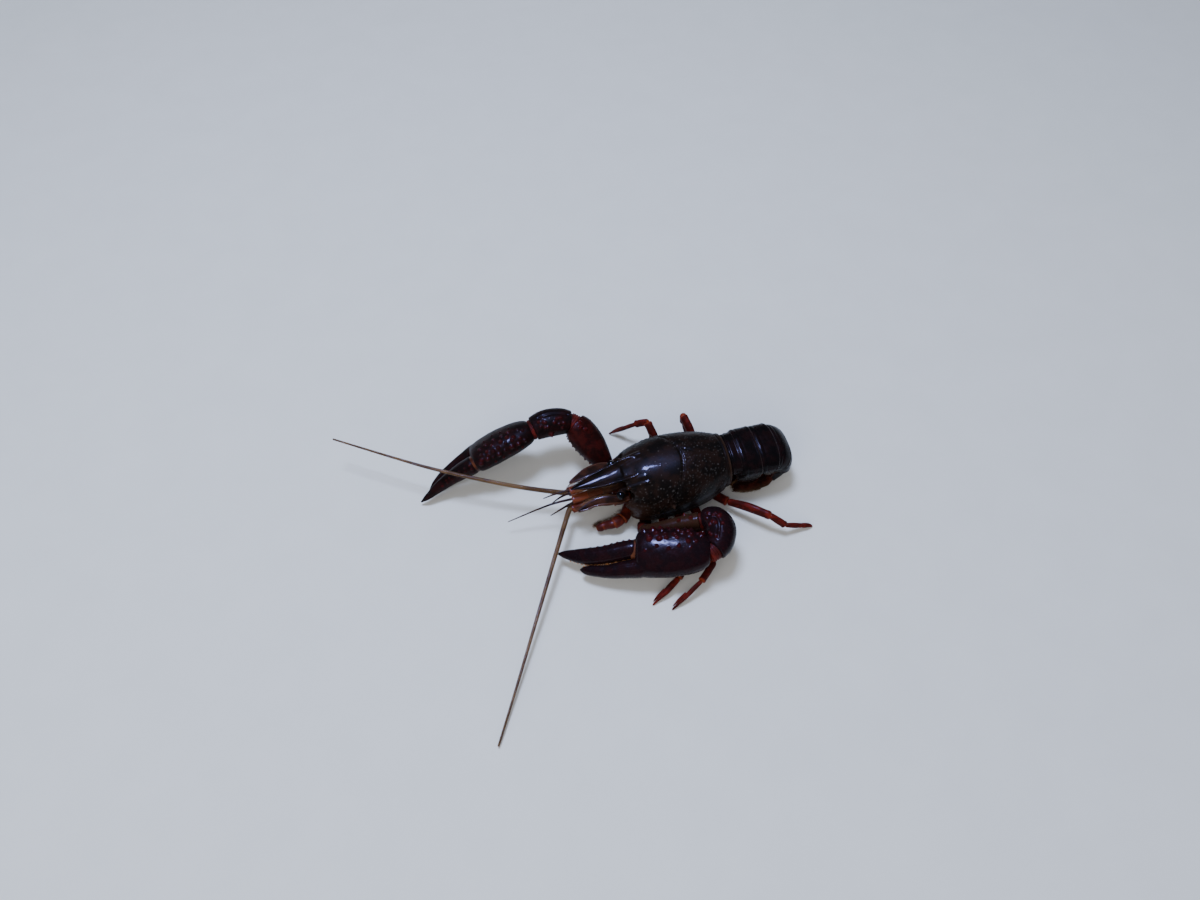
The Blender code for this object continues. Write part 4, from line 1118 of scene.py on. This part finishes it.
# distance from the wrist, centre towards the fixed finger, half width, half thickness
PALM = [
    (0, 0.2, 3.5, 2.6),
    (0.4, 0.2, 4.2, 3.1),
    (2.2, 0.3, 5.3, 3.7),
    (6, 0.4, 6.5, 4.2),
    (12, 0.55, 7.2, 4.4),
    (18, 0.6, 7.3, 4.2),
    (21.8, 0.6, 6.8, 3.7),
    (23.2, 1, 5.6, 2.7),
    (23.7, 1.3, 3.4, 1.6),
]
FIXED_FINGER = {
    "left": [(15, 3.6, 2.6, 3), (20, 4.3, 3, 3.2), (23.4, 4.8, 2.95, 3), (28, 4.95, 2.55, 2.6),
             (33, 5.1, 2, 2.1), (38, 4.35, 1.65, 1.6), (40.3, 4, 1.1, 1),
             (41.6, 3.6, 0.2, 0.25)],
    "right": [(15, 3.6, 2.6, 3), (20, 4.2, 2.9, 3.2), (23.4, 4.5, 2.9, 3), (28, 4.5, 2.2, 2.6),
              (33, 4.2, 2, 2.2), (38, 3.7, 1.7, 1.7), (41, 3.2, 1.2, 1.1),
              (43.4, 2.6, 0.2, 0.25)],
}
DACTYL = {
    "left": [(22.6, -1.3, 1.8, 1.8), (23.8, -1.1, 2.65, 2.6), (25.4, -0.9, 2.85, 2.7),
             (28, -0.6, 2.9, 2.6), (34, 0, 2.7, 2.3), (40, -0.25, 2.45, 1.9),
             (45, -1.3, 1.5, 1.2), (47.3, -1.9, 0.7, 0.6), (48, -2, 0.2, 0.2)],
    "right": [(22.6, -2.2, 2, 1.8), (23.8, -2.2, 3, 2.7), (25.4, -2, 3.1, 2.8),
              (28, -1.5, 2.8, 2.7), (34, -0.7, 2.2, 2.2), (40, -0.5, 1.6, 1.7),
              (45, -0.8, 0.9, 0.9), (48, -0.4, 0.2, 0.2)],
}
HINGE = {
    "left": [(21, -1.3, 2.2, 2.1), (22.6, -0.95, 3.2, 2.6), (24.9, -0.6, 2.95, 2.3)],
    "right": [(21, -1.9, 2.6, 2.2), (22.6, -2.1, 3.2, 2.7), (24.6, -2.1, 2.8, 2.5)],
}
# degrees round the palm, distance of the first tubercle, pitch, count, size
PALM_KNOBS = ((176, 3.2, 2.5, 8, 1.05), (157, 4.4, 2.6, 7, 1), (138, 3.2, 2.7, 7, 0.95),
              (118, 4.6, 2.9, 6, 0.8), (98, 6.5, 3.3, 5, 0.5), (196, 4.6, 2.7, 6, 0.8))
TOOTH_PITCH = 1.15
CLAW_SQUARE = 0.9
CLAW_SIDES = 72
CLAW_LENGTH = 48.0
CLAWS = {
    "left": ([(-15, -28.6, 11.6), (-36, -21.8, 11.8), (-58, -15, 3.4)], (0, -0.94, -0.34)),
    "right": ([(-56.2, 26.2, 16), (-77, 24.2, 11.8), (-95, 19, 1.2)], (0, 0.86, -0.5)),
}


class Claw:
    """A curved line from the wrist to the claw tips, with the claw's own axes along it."""

    def __init__(self, points, outward):
        self.points = [np.array(p, float) for p in points]
        self.outward = np.array(outward, float)

    def axes(self, along):
        a, b, c = self.points
        t = along / CLAW_LENGTH
        centre = a * (1 - t) ** 2 + b * (2 * t * (1 - t)) + c * t * t
        ahead = normalised((b - a) * (1 - t) + (c - b) * t)
        outward = normalised(self.outward - ahead * ahead.dot(self.outward))
        up = np.cross(ahead, outward)
        return centre, outward, up if up[2] > 0 else -up

    def ring(self, row):
        centre, outward, up = self.axes(row[0])
        c, s = oval(int(CLAW_SIDES / FINE), CLAW_SQUARE)
        return centre + outward * (row[1] + row[2] * c)[:, None] + up * (row[3] * s)[:, None]

    def shape(self, rows):
        return closed(np.array([self.ring(row) for row in smooth_rows(rows, 8)]))

    def surface(self, rows, along, degrees):
        """A place on a lofted surface: 0 degrees faces outward, 90 up and 180 inward."""
        across, half, thick = looked_up(rows, along)
        centre, outward, up = self.axes(along)
        c, s = math.cos(math.radians(degrees)), math.sin(math.radians(degrees))
        c = math.copysign(abs(c) ** CLAW_SQUARE, c)
        s = math.copysign(abs(s) ** CLAW_SQUARE, s)
        return centre + outward * (across + half * c) + up * (thick * s)


def low_granules(relief, spacing, radius, height, strength):
    for i in relief.scatter(lambda p: spacing, lambda p: 0.8):
        size = rng.uniform(0.6, 1.2)
        relief.knob(relief.points[i], radius * size, height * size, "knob",
                    strength * rng.random())


def add_teeth(relief, claw, rows, first, last, degrees, large, sizes, half, height):
    """Teeth along one side of a finger. large names those that have the first of two sizes."""
    for k, along in enumerate(np.arange(first, last, TOOTH_PITCH)):
        size = sizes[0] if k in large else sizes[1]
        place = claw.surface(rows, along, degrees)
        relief.knob(place, half * size ** 0.5, height * size, "tooth")


def make_palm(side, claw):
    fixed = FIXED_FINGER[side]
    relief = Relief(cast(f"claw_{side}_palm_shell", [claw.shape(PALM), claw.shape(fixed)],
                         CLAW_VOXEL))
    low_granules(relief, 1.5, 0.4, 0.05, 0.12)
    share = 1.0 if side == "left" else 0.72
    for degrees, first, pitch, count, size in PALM_KNOBS:
        for k in range(count):
            along = first + pitch * k + rng.uniform(-0.5, 0.5)
            place = claw.surface(PALM, along, degrees + rng.uniform(-6, 6))
            girth = share * size * rng.uniform(0.65, 1.2)
            relief.knob(place, 1.25 * girth, 0.75 * girth, "knob", rng.uniform(0.15, 0.8))
    add_teeth(relief, claw, fixed, 25.2, 40.5, 180, (2, 4), (2.0, 0.9), 0.6, 0.5)
    for degrees in (60, 110):
        relief.line([claw.surface(fixed, u, degrees) for u in range(24, 41, 2)], 0.5, -0.07)
    relief.rough(3.0, 0.08)
    finish(relief.apply(), CLAW_SHELLS[side], "claw", f"claw_{side}_palm")


def make_dactyl(side, claw):
    rows = DACTYL[side]
    relief = Relief(cast(f"claw_{side}_finger_shell", [claw.shape(rows)], FINGER_VOXEL))
    low_granules(relief, 1.5, 0.34, 0.045, 0.12)
    for degrees, count, size in ((176, 7, 0.9), (150, 6, 0.7), (200, 5, 0.6)):
        for k in range(count):
            place = claw.surface(rows, 25.0 + 2.1 * k + rng.uniform(-0.4, 0.4), degrees)
            relief.knob(place, 0.75 * size, 0.45 * size * (1 - 0.1 * k), "knob",
                        rng.uniform(0.2, 0.7))
    add_teeth(relief, claw, rows, 25.8, 45.0, 0, (1, 6), (1.6, 0.8), 0.55, 0.45)
    for degrees in (70, 120):
        relief.line([claw.surface(rows, u, degrees) for u in range(26, 45, 2)], 0.5, -0.07)
    relief.rough(3.0, 0.06)
    finish(relief.apply(), CLAW_SHELLS[side], "claw", f"claw_{side}_finger")
    finish(new_object(f"claw_{side}_hinge", *claw.shape(HINGE[side])), HINGE_SKIN, "claw")


ARMS = {
    "left": {
        "ischium": [(-28.2, -8.2, 2.3, 1.9, 1.4), (-29.8, -10.6, 3.3, 2, 1.6)],
        "merus": [(-30.2, -11.8, 4.1, 2, 1.7), (-28.8, -14.2, 6.2, 2.3, 2.4),
                  (-24.5, -15.8, 8.1, 2.5, 3.3), (-18.5, -17, 9.6, 2.8, 3.9),
                  (-14, -17.9, 10.8, 2.9, 3.9)],
        "carpus": [(-12.9, -18.1, 11.3, 3.2, 3.8), (-10.6, -19.4, 12.6, 4.2, 4.6),
                   (-9.8, -22.8, 12.8, 4.8, 4.8), (-11.2, -26.4, 12.2, 4.4, 4.1),
                   (-13.8, -28.2, 11.7, 4.1, 3.2)],
    },
    "right": {
        "ischium": [(-30.6, 10.6, 3.9, 2.2, 1.6), (-34.2, 12.6, 5.4, 2.6, 2)],
        "merus": [(-35, 13.4, 6.2, 2.8, 2.3), (-37, 16.4, 9.6, 4.2, 3.3),
                  (-39, 20, 12.2, 5.1, 3.7), (-41, 23.4, 14.6, 4.9, 3.9),
                  (-42.4, 25.2, 15.6, 4, 3.7)],
        "carpus": [(-43.2, 26, 15.9, 3.5, 3.7), (-46.6, 26.8, 16.6, 4.3, 4.2),
                   (-51.2, 27, 16.8, 4.5, 4.3), (-55.6, 26.4, 16.2, 4.1, 3.2)],
    },
}
ARM_ROOT = (-27, 4.3)            # x and height of the joint at the sternum
JOINT_DEPTH = 1.2                # how far a soft joint reaches into each piece
JOINT_SHARE = 0.86               # its girth beside the pieces' ends


def limb_surface(rows, share, toward):
    """A place on a limb: share of the way along it, on the side a direction points to."""
    line = smooth_rows(rows, 12)
    last = len(line) - 1
    k = int(share * last)
    along = normalised(line[min(k + 1, last)][:3] - line[max(k - 1, 0)][:3])
    out = np.array(toward, float)
    out = normalised(out - along * out.dot(along))
    across = normalised(np.cross(along, (0, 0, 1)))
    rise = np.cross(across, along)
    return line[k][:3] + out / math.hypot(out.dot(across) / line[k][3], out.dot(rise) / line[k][4])


def dress_merus(relief, line, side, inner, top):
    for k in range(9):
        share = 0.12 + 0.095 * k
        relief.knob(limb_surface(line, share, inner - top * 0.8), 0.6, 0.6, "knob", 0.9)
        relief.knob(limb_surface(line, share, top * -1 - inner * 0.3), 0.55, 0.5, "knob", 0.9)
    for share, way in ((0.86, top), (0.78, top + inner * 0.5), (0.7, top)):
        relief.knob(limb_surface(line, share, way), 0.85, 0.9, "knob", 0.8)
    if side == "left":
        relief.mask("olive")[:] = 0.8 * np.clip((relief.normals[:, 2] + 0.1) * 1.6, 0, 1)


def dress_carpus(relief, line, inner, top):
    ahead = np.array([-1, 0, 0])
    for _ in range(16):
        way = (top * rng.uniform(0.4, 1) + inner * rng.uniform(0, 1.2)
               + ahead * rng.uniform(-0.2, 0.9))
        relief.knob(limb_surface(line, rng.uniform(0.2, 0.9), way), 0.75, 0.42, "knob",
                    rng.uniform(0.3, 0.8))
    relief.knob(limb_surface(line, 0.62, inner + ahead * 0.6), 1.2, 1.5, "knob", 0.9)
    groove = [limb_surface(line, share, top + ahead * 0.2) for share in (0.2, 0.4, 0.6, 0.8)]
    relief.line(groove, 0.8, -0.35)


def make_arm(side, sign):
    rows = ARMS[side]
    root = lean((ARM_ROOT[0], sign * (STERNUM_HALF - 0.8), ARM_ROOT[1]))
    shapes = {**rows, "ischium": [(*root, 2.0, 1.4)] + rows["ischium"]}
    inner, top = np.array([0, -sign, 0]), np.array([0, 0, 1])
    for part, line in shapes.items():
        grid = tube(line, rings=70, sides=64, caps=(0.5, 0.4), square=0.95,
                    wave=flared if part == "ischium" else None)
        relief = Relief(cast(f"claw_{side}_{part}_shell", [closed(grid)], CLAW_VOXEL, 3))
        low_granules(relief, 1.2, 0.36, 0.08, 0.3)
        if part == "merus":
            dress_merus(relief, line, side, inner, top)
        if part == "carpus":
            dress_carpus(relief, line, inner, top)
        shell = CLAW_SHELLS[side] if part == "carpus" else ARM
        finish(relief.apply(), shell, "claw", f"claw_{side}_{part}")


def make_joint(name, a, b):
    """A soft joint between the ends of two limb pieces."""
    a, b = np.array(a, float), np.array(b, float)
    way = normalised(b[:3] - a[:3]) * JOINT_DEPTH
    rows = [(*place, *(size * JOINT_SHARE))
            for place, size in ((a[:3] - way, a[3:]), ((a[:3] + b[:3]) / 2, (a[3:] + b[3:]) / 2),
                                (b[:3] + way, b[3:]))]
    grid = tube(rows, rings=36, sides=32, caps=(0.6, 0.6),
                wave=lambda at, total: 1 + 0.03 * np.sin(at / total * 30))
    add_piece(name, [grid], MEMBRANE, "claw")


for side, sign in SIDES:
    claw = Claw(*CLAWS[side])
    make_palm(side, claw)
    make_dactyl(side, claw)
    make_arm(side, sign)
    arm = ARMS[side]
    wrist = (*claw.points[0], 4.0, 3.0)
    make_joint(f"claw_{side}_hip_joint", arm["ischium"][-1], arm["merus"][0])
    make_joint(f"claw_{side}_elbow_joint", arm["merus"][-1], arm["carpus"][0])
    make_joint(f"claw_{side}_wrist_joint", arm["carpus"][-1], wrist)


# Stage, camera and lights

CAMERA = (-83.56, -152.19, 252)
LENS = 27.9
PITCH = math.radians(54)
YAW = math.radians(15.72)
FLOOR_HALF = 3.0
LIT_PLACE = (0.03, 0.01, 0.02)   # where the lights point


def make_stage():
    half = FLOOR_HALF
    floor = new_object("floor", [(-half, -half, 0), (half, -half, 0), (half, half, 0),
                                 (-half, half, 0)], [(0, 1, 2, 3)])
    material, tree, shader = node_tree("pale_floor")
    pale = mix_node(tree, noise_node(tree, 60), (0.66, 0.655, 0.64), (0.72, 0.715, 0.70))
    feed(tree, shader, {"Base Color": pale, "Roughness": 0.75})
    floor.data.materials.append(material)


def make_camera():
    data = bpy.data.cameras.new("camera")
    data.lens = LENS
    data.sensor_width = 36
    data.clip_start = 0.01
    camera = linked("camera", data)
    camera.location = Vector(CAMERA) * MM + SHIFT
    camera.rotation_euler = (math.pi / 2 - PITCH, 0, -YAW)
    bpy.context.scene.camera = camera


def make_light(name, place, size, power, colour, glossy=False):
    data = bpy.data.lights.new(name, "AREA")
    data.shape = "SQUARE"
    data.size = size
    data.energy = power
    data.color = colour
    light = linked(name, data)
    light.location = place
    way = Vector(LIT_PLACE) - Vector(place)
    light.rotation_euler = way.to_track_quat("-Z", "Y").to_euler()
    light.visible_glossy = glossy
    light.visible_diffuse = not glossy


def make_lights():
    make_light("window", (-0.09, 0.13, 0.75), 0.2, 7, (0.6, 0.73, 1.0))
    make_light("glint", (-0.09, 0.12, 0.75), 0.13, 14.0, (0.36, 0.42, 1.0), glossy=True)
    make_light("fill", (-0.4, -0.6, 0.6), 0.8, 5.5, (1.0, 0.97, 0.92))
    world = bpy.data.worlds.new("studio")
    bpy.context.scene.world = world
    world.use_nodes = True
    tree = world.node_tree
    glossy = tree.nodes.new("ShaderNodeLightPath").outputs["Is Glossy Ray"]
    strength = add_node(tree, "MapRange", {"To Min": 0.30, "To Max": 0.05, "Value": glossy})
    feed(tree, tree.nodes["Background"], {"Color": (0.85, 0.9, 1.0, 1),
                                          "Strength": strength.outputs["Result"]})


make_stage()
make_camera()
make_lights()
